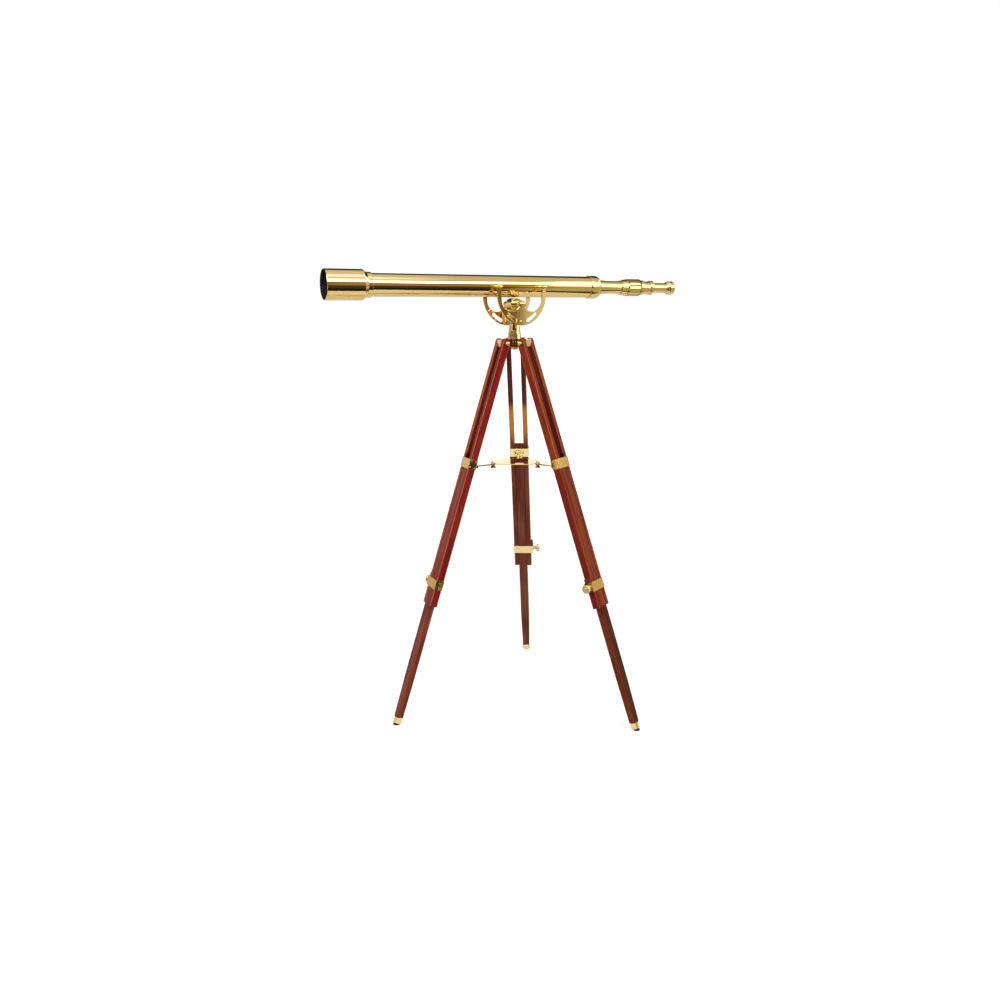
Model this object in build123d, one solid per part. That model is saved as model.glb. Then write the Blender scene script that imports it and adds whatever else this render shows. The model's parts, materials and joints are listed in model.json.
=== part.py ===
from build123d import *
import math
import os

os.makedirs("parts", exist_ok=True)

# A brass refracting telescope on a folding wooden tripod, in millimetres. +Z is up and the
# origin lies on the floor under the azimuth axis. At rest the objective looks along -X.

# Fits
running_gap = 0.05  # radial, where one piece turns or slides in another
seat_gap = 0.05  # radial, where one piece is pushed or screwed into another
face_gap = 0.3  # between faces that move past each other

# Tripod
leg_azimuths = [180, 300, 60]
leg_tilt = 18.48
pivot_height = 1077
pivot_radius = 37.6

slat_width = 13.5
slat_depth = 22
slat_rise = 13  # above the pivot
slat_reach = 771  # below the pivot
slat_top_round = 8
wood_edge = 1.2
channel_width = 27.4  # between the two slats

lower_side_room = 0.5  # between the lower leg and the bands' inner faces
lower_rise = 28  # top end of the sliding lower leg above the middle of the upper band
tongue_thickness = 9.5  # what the rebate leaves at the lower leg's top end
taper_length = 129
foot_width = 21.4
foot_depth = 20
ferrule_height = 17.5
ferrule_radius = 11.75
ferrule_wall = 1.1
ferrule_lift = 0.8  # the ferrule's lowest edge above the floor, along the leg
ferrule_edge = 0.5
tenon_length = 11
tip_radius = 9.6

band_wall = 1.3
upper_band_place = 351
upper_band_height = 28
clamp_band_rise = 63  # middle of the clamp band above the slats' lower ends
clamp_band_height = 27
pad_thickness = 6
pad_rise = 12  # how far the pressure pad stands above its band
pad_side_room = 1

hinge_bolt_radius = 4
hinge_ball_radius = 6.3
hinge_collar = 2.4
hinge_collar_slope = 0.8

clamp_shank_radius = 4
clamp_neck_length = 11
clamp_head_radius = 11.5
clamp_head_thickness = 8
knob_rim_round = 1.5
knob_collar_thickness = 2
knob_step = 1

# Spreader
bracket_drop = 3  # bracket pin below the middle of the upper band
bracket_plate = 1.6
bracket_width = 29
bracket_height = 14
bracket_margin = 1.5  # from the ears' outer faces to the plate's ends
pin_offset = 6.5
pin_radius = 2
ear_thickness = 2.2
arm_width = 11
arm_thickness = 3
arm_eye_radius = 4.5
arm_end_wall = 5
arm_eye_wall = 3.7  # between the slot and the eye
tray_bolt_place = 74
tray_bolt_radius = 3
fold_drop_play = 1.2  # room under the arms for the tray's rise and fall
tray_thickness = 2.5
tray_long_edge = 56  # axis to long edge
tray_short_edge = 71  # axis to short edge
tray_ear_radius = 7.5
tray_corner_round = 3
tray_ball_radius = 4
tray_ball_height = 3.1  # middle of the ball above the tray
tray_collar_height = 1.5
tray_collar_radius = 5.4
tray_collar_top_radius = 4.2
tray_bolt_end = 1.5  # how far the bolt stands out of its nut
tray_nut_height = 5.5
tray_nut_radius = 5.2
tray_nut_end_radius = 4
wing_width = 5.5
wing_height = 8
wing_round = 2.2
wing_thickness = 1.6
wing_place = 4.5
wing_splay = 15

# Hub
lug_depth = 11  # below the pivots
lug_rise = 12  # above the pivots
lug_reach_past_pivot = 10
lug_end_round = 2.5
crown_radius = 22
socket_height = 39
socket_base_radius = 19.5
socket_top_radius = 14
pintle_radius = 9
pintle_stud_radius = 6
pintle_step_rise = 4  # where the pintle narrows to its stud, above the hub's underside
pintle_stud_end = 1.5  # how far the stud stands out of its nut
pintle_nut_flats = 19
pintle_nut_height = 6
azimuth_screw_azimuth = 240
azimuth_screw_rise = 11  # above the lugs
azimuth_screw_radius = 3
azimuth_boss_reach = 22
azimuth_boss_radius = 6.6
azimuth_collar_radius = 5.5
azimuth_neck_length = 7  # from the boss to the back of the knob's head
azimuth_neck_radius = 7
azimuth_knob_radius = 12
azimuth_knob_thickness = 7

# Fork and altitude axle
axle_rise = 55.5  # above the socket
axle_radius = 5
drum_radius = 17.5
drum_length = 36
drum_edge = 1.5
flange_radius = 14
flange_height = 5
flange_slope = 1
neck_drum_overlap = 3
neck_base_radius = 12.5
neck_top_radius = 10

# Cradle plates, measured from the axle
plate_inner_face = 45  # distance from the tube's middle plane
plate_thickness = 5
plate_belly_half_width = 74
plate_belly_height = 25
plate_tip_height = 46
plate_bottom = 58
plate_bottom_radius = 62
plate_limb_width = 7.6
scallop_radius = 30
scallop_spacing = 31.5  # from the middle to each scallop
scallop_rise = 9.5
limb_eye_radius = 6
axle_boss_radius = 8.5
axle_web_width = 9.4
axle_web_height = 25.5
axle_ring_radius = 9.8
slot_height = 10.5
slot_inset = 10.8  # from the plate's edge to the slot's middle line
slot_start = 21
slot_limb_sweep = 15.5
bottom_boss_radius = 6
bottom_boss_rise = 8
bottom_boss_proud = 2

stud_screw_radius = 2.5
stud_sleeve_radius = 4
ball_nut_radius = 5.5
washer_thickness = 2
washer_radius = 7
washer_slope = 0.5
stud_washer_radius = 5.2

# Telescope, measured along its axis from the plane of the axle; + is the eyepiece end
tube_above_axle = 48.7
rest_elevation = 0.74  # objective end up
tube_radius = 30
tube_wall = 1.5
tube_rear = 250

cell_shoulder = -428  # where the dew cap meets the cell
cell_ring_length = 13
cell_nose_length = 18
cell_grip = 7  # how far the cell runs over the tube
cell_edge = 0.7
cell_ring_radius = 32.75
cell_nose_radius = 30.3
lens_radius = 27.5
lens_seat_radius = 25.5
lens_seat_depth = 4  # ahead of the shoulder
crown_thickness = 8
flint_thickness = 5
lens_air_gap = 0.3
lens_curve = 260
lens_lip = 26.5
lens_lip_thickness = 2
lens_lip_slope = 6

dew_radius = 39.5
dew_wall = 1.6
dew_length = 109.6
dew_shoulder = 9
dew_rim = 0.8
dew_rear_radius = 33.15

baffle_places = [-260, -90, 60]
baffle_aperture = 19
baffle_thickness = 1.2
baffle_rim_length = 6

collar_grip = 14  # how far the collar runs over the tube
collar_radius = 32.6
collar_straight = 22
collar_taper = 15
collar_edge = 1
small_collar_radius = 19.6
small_collar_length = 18
guide_length = 35
guide_wall = 1.8

draw_radius = 18.25
draw_wall = 1.3
draw_out = 18  # travel away from rest
draw_in = 54
draw_stop_play = 1
draw_step_play = 2
draw_stop_radius = 22
draw_stop_length = 6
step_small_length = 10
step_large_length = 9
step_small_radius = 21.3
step_large_radius = 22.8
sleeve_radius = 17
sleeve_bore = 15.5
sleeve_inset = 1
ring_length = 59
ring_radius = 24.4
ring_edge = 0.8
ring_lip_radius = 21.5
ring_lip_length = 13
flute_count = 14
flute_depth = 1
flute_width = 8.4
flute_margin = 4

barrel_overlap = 40  # inside the sleeve
barrel_bore = 12.5
barrel_steps = [(23, 18.4), (11, 20.6)]  # length and radius
barrel_edge = 1.2
barrel_shoulder = 4
barrel_tail_length = 50.7
barrel_tail_radius = 14.2
barrel_tail_bore = 11.5
cup_grip = 7
cup_neck_radius = 15.2
cup_rise_length = 13
cup_radius = 19.8
cup_straight = 11
cup_dome_length = 6
cup_face_radius = 14
cup_eye_radius = 5
cup_eye_depth = 2.5
cup_wall = 2.2
erector_places = [6, 72]  # behind the front of the draw tube
erector_thickness = 5
lens_bulge = 1.2
field_lens_place = 11  # behind the barrel's front
eye_lens_place = 38  # ahead of the tail's end
eyepiece_lens_thickness = 4.5
eyepiece_lens_flatness = 0.4

# Sizes that follow from those above
tilt = math.radians(leg_tilt)
leg_reach = pivot_height / math.cos(tilt)
leg_width = 2 * slat_width + channel_width
lower_width = channel_width - 2 * face_gap
lower_depth = slat_depth - 2 * lower_side_room
lower_top = upper_band_place - lower_rise
ferrule_end = leg_reach - ferrule_radius * math.tan(tilt) - ferrule_lift
ferrule_top = ferrule_end - ferrule_height
taper_start = ferrule_top - taper_length
clamp_band_place = slat_reach - clamp_band_rise
slat_middle = (channel_width + slat_width) / 2
band_inner_face = slat_depth / 2 + band_wall
clamp_side_face = leg_width / 2 + pad_thickness + band_wall
pin_drop = upper_band_place + bracket_drop
pin_inset = band_inner_face + bracket_plate + pin_offset
arm_radius = pivot_radius + pin_drop * math.sin(tilt) - pin_inset * math.cos(tilt)
arm_height = pivot_height - pin_drop * math.cos(tilt) - pin_inset * math.sin(tilt)
tray_bottom = arm_height + arm_thickness / 2 + face_gap
tray_top = tray_bottom + tray_thickness
arm_grip = tray_thickness + face_gap + arm_thickness + fold_drop_play
ear_middle = bracket_width / 2 - bracket_margin - ear_thickness / 2
arm_eye_length = 2 * ear_middle - ear_thickness - 2 * face_gap

hub_bottom = pivot_height - lug_depth
lug_top = pivot_height + lug_rise
socket_top = lug_top + socket_height
azimuth_screw_height = lug_top + azimuth_screw_rise
axle_height = socket_top + axle_rise
plate_outer_face = plate_inner_face + plate_thickness
bottom_centre = plate_bottom_radius - plate_bottom
limb_rise = plate_belly_height - bottom_centre
# the limb's arc stands upright at the belly and touches the bottom's arc from outside
limb_radius = plate_belly_half_width**2 + limb_rise**2 - plate_bottom_radius**2
limb_radius /= 2 * (plate_belly_half_width - plate_bottom_radius)
limb_centre = plate_belly_half_width - limb_radius
limb_angle = math.atan2(limb_rise, -limb_centre)
limb_lean = math.asin((plate_tip_height - plate_belly_height) / limb_radius)
plate_tip_half_width = limb_centre + limb_radius * math.cos(limb_lean)
stud_half_spacing = plate_tip_half_width - plate_limb_width / 2

cell_front = cell_shoulder - cell_nose_length
cell_rear = cell_shoulder + cell_ring_length
tube_front = cell_rear - cell_grip
lens_seat = cell_shoulder - lens_seat_depth
dew_mouth = cell_shoulder - dew_length
collar_front = tube_rear - collar_grip
collar_straight_end = collar_front + collar_straight
collar_taper_end = collar_straight_end + collar_taper
small_collar_end = collar_taper_end + small_collar_length
guide_front = tube_rear - guide_length
draw_front = guide_front - draw_out - draw_stop_play - draw_stop_length
step_front = small_collar_end + draw_in + draw_step_play
step_middle = step_front + step_small_length
step_end = step_middle + step_large_length
ring_end = step_end + ring_length
barrel_front = ring_end - barrel_overlap
barrel_shoulder_place = ring_end + face_gap
barrel_body_end = barrel_shoulder_place + sum(length for length, radius in barrel_steps)
barrel_tail_end = barrel_body_end + barrel_shoulder + barrel_tail_length
cup_front = barrel_tail_end - cup_grip
cup_rise_end = cup_front + cup_rise_length
cup_dome_start = cup_rise_end + cup_straight
cup_end = cup_dome_start + cup_dome_length

parts = {}


def turned(outer, bore):
    """A piece turned about X; both outlines run from the objective end to the eyepiece end."""
    outline = Polyline(*outer, *reversed(bore), close=True)
    return revolve(make_face(outline), Axis.X)


def turned_pin(stations):
    """A solid pin turned about X from (place, radius) stations."""
    return turned(stations, [(stations[0][0], 0), (stations[-1][0], 0)])


def ball(place, radius):
    return Pos(place, 0, 0) * Sphere(radius)


def along_y(shape):
    """Turn a piece made about X so that it lies along +Y."""
    return Rot(0, 0, 90) * shape


def bored(solid, radius, length, place):
    return solid - place * Cylinder(radius, length)


def leg_frame(azimuth):
    """Leg pivot at the origin, foot along -Z, outward along +X."""
    return Rot(0, 0, azimuth) * Pos(pivot_radius, 0, pivot_height) * Rot(0, -leg_tilt, 0)


def slat(side):
    length = slat_rise + slat_reach
    bar = Box(slat_depth, slat_width, length)
    bar = fillet(bar.edges().filter_by(Axis.Y).group_by(Axis.Z)[-1], slat_top_round)
    bar = fillet(bar.edges().filter_by(Axis.Z), wood_edge)
    bar = Pos(0, side * slat_middle, (slat_rise - slat_reach) / 2) * bar
    across = Pos(0, side * slat_middle, 0) * Rot(90, 0, 0)
    bar = bored(bar, hinge_bolt_radius + seat_gap, 2 * slat_width, across)
    if side < 0:
        screw = Pos(0, 0, -clamp_band_place) * across
        bar = bored(bar, clamp_shank_radius + face_gap, 2 * slat_width, screw)
    return bar


def lower_leg():
    straight = taper_start - lower_top
    bar = Box(lower_depth, lower_width, straight)
    bar = Pos(0, 0, -(lower_top + taper_start) / 2) * fillet(bar.edges().filter_by(Axis.Z), wood_edge)
    rebate = Box(lower_depth, 2 * lower_width, 2 * lower_rise)
    bar -= Pos(tongue_thickness, 0, -lower_top) * rebate
    wide = Plane.XY.offset(-taper_start) * RectangleRounded(lower_depth, lower_width, wood_edge)
    narrow = Plane.XY.offset(-ferrule_top) * RectangleRounded(foot_depth, foot_width, wood_edge)
    tenon = Cylinder(ferrule_radius - ferrule_wall - seat_gap, tenon_length)
    return bar + loft([wide, narrow]) + Pos(0, 0, -ferrule_top - tenon_length / 2) * tenon


def ferrule():
    cup = Cylinder(ferrule_radius, ferrule_height)
    cup = chamfer(cup.edges().filter_by(GeomType.CIRCLE), ferrule_edge)
    cup -= Cylinder(ferrule_radius - ferrule_wall, ferrule_height)
    return Pos(0, 0, -ferrule_top - ferrule_height / 2) * cup


def rubber_tip(azimuth):
    """A plug in the ferrule and a pad, cut off level with the floor."""
    plug_top = ferrule_top + tenon_length + face_gap
    plug_length = ferrule_end - plug_top
    plug = Pos(0, 0, -(plug_top + ferrule_end) / 2)
    plug *= Cylinder(ferrule_radius - ferrule_wall - seat_gap, plug_length)
    pad_length = 2 * (leg_reach - ferrule_end)
    tip = plug + Pos(0, 0, -ferrule_end - pad_length / 2) * Cylinder(tip_radius, pad_length)
    tip = leg_frame(azimuth) * tip
    return tip & Pos(0, 0, leg_reach / 2) * Box(4 * leg_reach, 4 * leg_reach, leg_reach)


def strap(width, height, middle):
    """A rectangular brass strap bent round the leg, with its inside against the wood."""
    outside = Box(slat_depth + 2 * band_wall, width + 2 * band_wall, height)
    outside = fillet(outside.edges().filter_by(Axis.Z), band_wall)
    return Pos(0, middle, 0) * (outside - Box(slat_depth, width, height))


def upper_band():
    return Pos(0, 0, -upper_band_place) * strap(leg_width, upper_band_height, 0)


def clamp_band():
    band = strap(leg_width + pad_thickness, clamp_band_height, -pad_thickness / 2)
    band = bored(band, clamp_shank_radius + running_gap, 2 * slat_width,
                 Pos(0, -clamp_side_face, 0) * Rot(90, 0, 0))
    return Pos(0, 0, -clamp_band_place) * band


def pressure_pad():
    height = clamp_band_height + pad_rise
    pad = Box(slat_depth - 2 * pad_side_room, pad_thickness, height)
    outer_top = pad.edges().filter_by(Axis.X).group_by(Axis.Z)[-1].sort_by(Axis.Y)[0]
    pad = chamfer(outer_top, pad_thickness / 2)
    pad = Pos(0, -(leg_width + pad_thickness) / 2, pad_rise / 2 - clamp_band_place) * pad
    return bored(pad, clamp_shank_radius + running_gap, 3 * pad_thickness,
                 Pos(0, -leg_width / 2, -clamp_band_place) * Rot(90, 0, 0))


def clamp_screw():
    """A thumb screw whose tip bears on the lower leg."""
    tip = lower_width / 2 + face_gap
    face = clamp_side_face + face_gap
    neck_end = face + clamp_neck_length
    head_end = neck_end + clamp_head_thickness
    screw = turned_pin([
        (tip, 0.8 * clamp_shank_radius),
        (tip + knob_step, clamp_shank_radius),
        (face, clamp_shank_radius),
        (face, 1.6 * clamp_shank_radius),
        (face + knob_collar_thickness, 1.6 * clamp_shank_radius),
        (face + knob_collar_thickness + knob_step, 1.1 * clamp_shank_radius),
        (neck_end, 0.6 * clamp_head_radius),
        (neck_end, clamp_head_radius - knob_rim_round),
        (neck_end + knob_rim_round, clamp_head_radius),
        (head_end - knob_rim_round, clamp_head_radius),
        (head_end, clamp_head_radius - knob_rim_round),
        (head_end, 0.5 * clamp_head_radius),
        (head_end + knob_step, 0.3 * clamp_head_radius),
    ])
    return Pos(0, 0, -clamp_band_place) * Rot(0, 0, -90) * screw


def hinge_bolt():
    """A ball-headed bolt through both slats and the hub's lug, and its ball nut."""
    wood = leg_width / 2
    collar_end = wood + hinge_collar
    ball_place = collar_end + 0.5 * hinge_ball_radius
    bolt_end = wood + 0.6 * hinge_collar
    collar_radius_outside = hinge_ball_radius - hinge_collar_slope
    head = turned_pin([
        (-collar_end, collar_radius_outside),
        (-wood, hinge_ball_radius),
        (-wood, hinge_bolt_radius),
        (bolt_end, hinge_bolt_radius),
    ])
    head += ball(-ball_place, hinge_ball_radius)
    nut = turned_pin([(wood, hinge_ball_radius), (collar_end, collar_radius_outside)])
    nut += ball(ball_place, hinge_ball_radius)
    bore = hinge_bolt_radius + seat_gap
    nut -= turned_pin([(0, bore), (bolt_end + seat_gap, bore)])
    return Compound(children=[along_y(head), along_y(nut)])


def spreader_bracket():
    """A plate on the upper band with two ears and the hinge pin of the spreader arm."""
    bracket = extrude(RectangleRounded(bracket_width, bracket_height, 0.49 * bracket_height), bracket_plate)
    bracket = Pos(-band_inner_face, 0, -upper_band_place) * Rot(0, -90, 0) * Rot(0, 0, 90) * bracket
    ear_length = pin_offset + bracket_plate
    pin_spot = Pos(-pin_inset, 0, -pin_drop)
    for side in (-1, 1):
        ear = Pos(ear_length / 2, 0, 0) * Box(ear_length, ear_thickness, 2 * arm_eye_radius)
        ear += Rot(90, 0, 0) * Cylinder(arm_eye_radius, ear_thickness)
        bracket += pin_spot * Pos(0, side * ear_middle, 0) * ear
    return bracket + pin_spot * Rot(90, 0, 0) * Cylinder(pin_radius, bracket_width)


def spreader_arm(azimuth):
    """A slotted strap from the bracket pin to the clamp bolt under the tray."""
    slot_radius = tray_bolt_radius + face_gap
    slot_inner = tray_bolt_place - arm_radius
    slot_outer = -arm_eye_radius - arm_eye_wall - slot_radius
    round_place = slot_inner - slot_radius - arm_end_wall + arm_width / 2
    strip = Pos(round_place / 2, 0, 0) * Box(-round_place, arm_width, arm_thickness)
    strip += Pos(round_place, 0, 0) * Cylinder(arm_width / 2, arm_thickness)
    strip += Rot(90, 0, 0) * Cylinder(arm_eye_radius, arm_eye_length)
    strip -= Rot(90, 0, 0) * Cylinder(pin_radius + running_gap, 2 * arm_eye_length)
    slot = SlotCenterToCenter(slot_outer - slot_inner, 2 * slot_radius)
    slot = extrude(slot, arm_thickness, both=True)
    strip -= Pos((slot_inner + slot_outer) / 2, 0, 0) * slot
    return Rot(0, 0, azimuth) * Pos(arm_radius, 0, arm_height) * strip


def spreader_tray():
    """A triangular plate with its corners cut off and an ear for each arm's clamp bolt."""
    long_sides = RegularPolygon(tray_long_edge, 3, major_radius=False)
    short_sides = Rot(0, 0, 180) * RegularPolygon(tray_short_edge, 3, major_radius=False)
    # the first corner of a regular polygon lies on +X; a leg stands at every corner
    outline = Rot(0, 0, leg_azimuths[0]) * (long_sides & short_sides)
    outline = fillet(outline.vertices(), tray_corner_round)
    for azimuth in leg_azimuths:
        spot = Rot(0, 0, azimuth)
        outline += spot * Pos(tray_bolt_place / 2, 0) * Rectangle(tray_bolt_place, 2 * tray_ear_radius)
        outline += spot * Pos(tray_bolt_place, 0) * Circle(tray_ear_radius)
    for azimuth in leg_azimuths:
        outline -= Rot(0, 0, azimuth) * Pos(tray_bolt_place, 0) * Circle(tray_bolt_radius + seat_gap)
    return Pos(0, 0, tray_bottom) * extrude(outline, tray_thickness)


def tray_bolt():
    """A ball-headed clamp bolt, made about X with its shank along +X and its collar at 0."""
    bolt = turned_pin([
        (-tray_collar_height, tray_collar_top_radius),
        (0, tray_collar_radius),
        (0, tray_bolt_radius),
        (arm_grip + tray_nut_height + tray_bolt_end, tray_bolt_radius),
    ])
    return bolt + ball(-tray_ball_height, tray_ball_radius)


def tray_wing_nut():
    """A wing nut run up under the arm; its wings hang down."""
    body = Rot(180, 0, 0) * Cone(tray_nut_radius, tray_nut_end_radius, tray_nut_height)
    nut = Pos(0, 0, -tray_nut_height / 2) * body
    wing = extrude(RectangleRounded(wing_width, wing_height, wing_round), wing_thickness / 2, both=True)
    wing_drop = wing_height / 2 + wing_width * math.sin(math.radians(wing_splay)) / 2
    for side in (-1, 1):
        nut += Pos(side * wing_place, 0, -wing_drop) * Rot(0, -side * wing_splay, 0) * Rot(90, 0, 0) * wing
    nut -= Cylinder(tray_bolt_radius + seat_gap, 4 * wing_height)
    return Pos(0, 0, -arm_grip) * nut


def at_tray_bolts(piece):
    spot = Pos(tray_bolt_place, 0, tray_top)
    return Compound(children=[Rot(0, 0, azimuth) * spot * piece for azimuth in leg_azimuths])


def hub_crown():
    """Three lugs round a bored socket for the pintle."""
    lug_height = lug_top - hub_bottom
    lug_middle = (lug_top + hub_bottom) / 2
    crown = Pos(0, 0, lug_middle) * Cylinder(crown_radius, lug_height)
    lug_reach = pivot_radius + lug_reach_past_pivot
    for azimuth in leg_azimuths:
        lug = Box(lug_reach, lower_width, lug_height)
        lug = fillet(lug.edges().filter_by(Axis.Y).group_by(Axis.X)[-1], lug_end_round)
        crown += Rot(0, 0, azimuth) * Pos(lug_reach / 2, 0, lug_middle) * lug
    socket = Cone(socket_base_radius, socket_top_radius, socket_height)
    crown += Pos(0, 0, lug_top + socket_height / 2) * socket
    boss = Rot(0, 0, azimuth_screw_azimuth) * Pos(0, 0, azimuth_screw_height) * Rot(0, 90, 0)
    boss *= Pos(0, 0, azimuth_boss_reach / 2)
    crown += boss * Cylinder(azimuth_boss_radius, azimuth_boss_reach)
    for azimuth in leg_azimuths:
        crown = bored(crown, hinge_bolt_radius + running_gap, 2 * leg_width,
                      Rot(0, 0, azimuth) * Pos(pivot_radius, 0, pivot_height) * Rot(90, 0, 0))
    crown = bored(crown, azimuth_screw_radius + running_gap, 1.1 * azimuth_boss_reach, boss)
    return bored(crown, pintle_radius + running_gap, 2 * (socket_top - hub_bottom), Pos(0, 0, socket_top))


def azimuth_clamp_screw():
    tip = pintle_radius + running_gap + face_gap
    face = azimuth_boss_reach + face_gap
    knob = azimuth_boss_reach + azimuth_neck_length
    end = knob + azimuth_knob_thickness
    screw = turned_pin([
        (tip, azimuth_screw_radius),
        (face, azimuth_screw_radius),
        (face, azimuth_collar_radius),
        (face + knob_collar_thickness, azimuth_collar_radius),
        (face + knob_collar_thickness + knob_step, azimuth_collar_radius - knob_step),
        (knob, azimuth_neck_radius),
        (knob, azimuth_knob_radius - knob_rim_round),
        (knob + knob_rim_round, azimuth_knob_radius),
        (end - knob_step, azimuth_knob_radius),
        (end, azimuth_knob_radius - knob_step),
    ])
    return Rot(0, 0, azimuth_screw_azimuth) * Pos(0, 0, azimuth_screw_height) * screw


def fork_post():
    """The pintle that turns in the hub, with the drum that carries the altitude axle."""
    seat = socket_top + face_gap
    step = hub_bottom + pintle_step_rise
    stud_end = hub_bottom - face_gap - pintle_nut_height - pintle_stud_end
    profile = [
        (0, stud_end),
        (pintle_stud_radius, stud_end),
        (pintle_stud_radius, step),
        (pintle_radius, step),
        (pintle_radius, seat),
        (flange_radius, seat),
        (flange_radius, seat + flange_height - flange_slope),
        (neck_base_radius, seat + flange_height),
        (neck_top_radius, axle_height - drum_radius + neck_drum_overlap),
        (neck_top_radius, axle_height),
        (0, axle_height),
    ]
    post = revolve(make_face(Plane.XZ * Polyline(*profile, close=True)), Axis.Z)
    drum = Cylinder(drum_radius, drum_length)
    drum = fillet(drum.edges().filter_by(GeomType.CIRCLE), drum_edge)
    post += Pos(0, 0, axle_height) * Rot(90, 0, 0) * drum
    return bored(post, axle_radius + running_gap, 2 * drum_length, Pos(0, 0, axle_height) * Rot(90, 0, 0))


def pintle_nut():
    nut = extrude(RegularPolygon(pintle_nut_flats / 2, 6, major_radius=False), pintle_nut_height)
    nut -= Cylinder(pintle_stud_radius + seat_gap, 4 * pintle_nut_height)
    return Pos(0, 0, hub_bottom - face_gap - pintle_nut_height) * nut


def plate_outline():
    """The lyre outline: a round bottom that runs into long curved limbs."""
    corner_x = plate_bottom_radius * math.cos(limb_angle)
    corner_z = bottom_centre - plate_bottom_radius * math.sin(limb_angle)
    belly = (plate_belly_half_width, plate_belly_height)
    tip = (plate_tip_half_width, plate_tip_height)
    right = ThreePointArc(tip, belly, (corner_x, corner_z))
    bottom = ThreePointArc((corner_x, corner_z), (0, -plate_bottom), (-corner_x, corner_z))
    left = ThreePointArc((-corner_x, corner_z), (-belly[0], belly[1]), (-tip[0], tip[1]))
    return make_face([right, bottom, left, Line((-tip[0], tip[1]), tip)])


def cradle_plate():
    """A pierced side plate: two limbs, a scalloped saddle and a boss on the altitude axle."""
    outline = plate_outline()
    limb_inside = plate_tip_half_width - plate_limb_width
    above = 2 * plate_tip_height
    opening = [
        (scallop_spacing + scallop_radius, scallop_rise),
        (limb_inside, plate_tip_height),
        (limb_inside, above),
        (-limb_inside, above),
        (-limb_inside, plate_tip_height),
        (-scallop_spacing - scallop_radius, scallop_rise),
    ]
    outline -= make_face(Polyline(*opening, close=True))
    slot = pierced_slot()
    for side in (-1, 1):
        outline -= Pos(side * scallop_spacing, scallop_rise) * Circle(scallop_radius)
        outline += Pos(side * stud_half_spacing, plate_tip_height) * Circle(limb_eye_radius)
        outline -= Pos(side * stud_half_spacing, plate_tip_height) * Circle(stud_screw_radius + seat_gap)
    outline += Pos(0, -axle_boss_radius) * Rectangle(axle_web_width, axle_web_height)
    outline += Circle(axle_ring_radius)
    outline -= slot
    outline -= mirror(slot, Plane.YZ)
    plate = extrude(Plane.XZ * outline, plate_thickness)
    bottom_boss = Cylinder(bottom_boss_radius, plate_thickness + 2 * bottom_boss_proud)
    boss_spot = Pos(0, 0, bottom_boss_rise - plate_bottom) * Rot(90, 0, 0)
    plate += boss_spot * Pos(0, 0, plate_thickness / 2) * bottom_boss
    inner_boss = plate_inner_face - drum_length / 2 - face_gap
    plate += Pos(0, inner_boss / 2, 0) * Rot(90, 0, 0) * Cylinder(axle_boss_radius, inner_boss)
    return bored(plate, axle_radius + seat_gap, 4 * plate_inner_face, Rot(90, 0, 0))


def pierced_slot():
    """A curved slot that follows the plate's lower edge at an even margin, up into the limb."""
    turn = math.degrees(limb_angle)
    start = slot_start - 90
    low = CenterArc((0, bottom_centre), plate_bottom_radius - slot_inset, start, -turn - start)
    high = CenterArc((limb_centre, plate_belly_height), limb_radius - slot_inset, -turn, slot_limb_sweep)
    return SlotArc(Wire([low.edge(), high.edge()]), slot_height)


def altitude_axle():
    """A ball-headed axle through drum and plates, with a ball nut at its far end."""
    face = plate_outer_face
    washer_end = face + washer_thickness
    ball_place = washer_end + 0.5 * ball_nut_radius
    axle_end = face + 0.6 * washer_thickness
    axle = turned_pin([
        (-washer_end, washer_radius - washer_slope),
        (-face, washer_radius),
        (-face, axle_radius),
        (axle_end, axle_radius),
    ])
    axle += ball(-ball_place, ball_nut_radius)
    nut = turned_pin([(face, washer_radius), (washer_end, washer_radius - washer_slope)])
    nut += ball(ball_place, ball_nut_radius)
    bore = axle_radius + seat_gap
    nut -= turned_pin([(0, bore), (axle_end + seat_gap, bore)])
    return Compound(children=[along_y(axle), along_y(nut)])


def yoke_studs():
    """Sleeves and ball-headed screws that hold the tube between the plates' tips."""
    face = plate_outer_face
    ball_place = face + washer_thickness + 0.7 * ball_nut_radius
    screw = turned_pin([
        (tube_radius - tube_wall, stud_screw_radius),
        (face, stud_screw_radius),
        (face, stud_washer_radius),
        (face + washer_thickness, stud_washer_radius - washer_slope),
    ])
    screw += ball(ball_place, ball_nut_radius)
    sleeve_inside = stud_screw_radius + seat_gap
    sleeve = turned([(0, stud_sleeve_radius), (plate_inner_face, stud_sleeve_radius)],
                    [(0, sleeve_inside), (plate_inner_face, sleeve_inside)])
    tube = Cylinder(tube_radius + seat_gap, 4 * stud_half_spacing)
    tube = Pos(0, 0, tube_above_axle) * Rot(0, 90, 0) * tube
    pieces = []
    for end in (-1, 1):
        for side in (-1, 1):
            spot = Pos(end * stud_half_spacing, 0, plate_tip_height) * Rot(0, 0, side * 90)
            pieces += [spot * screw, spot * sleeve - tube]
    return Compound(children=pieces)


def objective_cell():
    """The ring that screws on the tube, with the seat of the lenses in its nose."""
    edge_radius = cell_ring_radius - cell_edge
    outer = [
        (cell_front, cell_nose_radius),
        (cell_shoulder, cell_nose_radius),
        (cell_shoulder, edge_radius),
        (cell_shoulder + cell_edge, cell_ring_radius),
        (cell_rear - cell_edge, cell_ring_radius),
        (cell_rear, edge_radius),
    ]
    bore = [
        (cell_front, lens_radius + seat_gap),
        (lens_seat, lens_radius + seat_gap),
        (lens_seat, lens_seat_radius),
        (tube_front - seat_gap, lens_seat_radius),
        (tube_front - seat_gap, tube_radius + seat_gap),
        (cell_rear, tube_radius + seat_gap),
    ]
    return turned(outer, bore)


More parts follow.
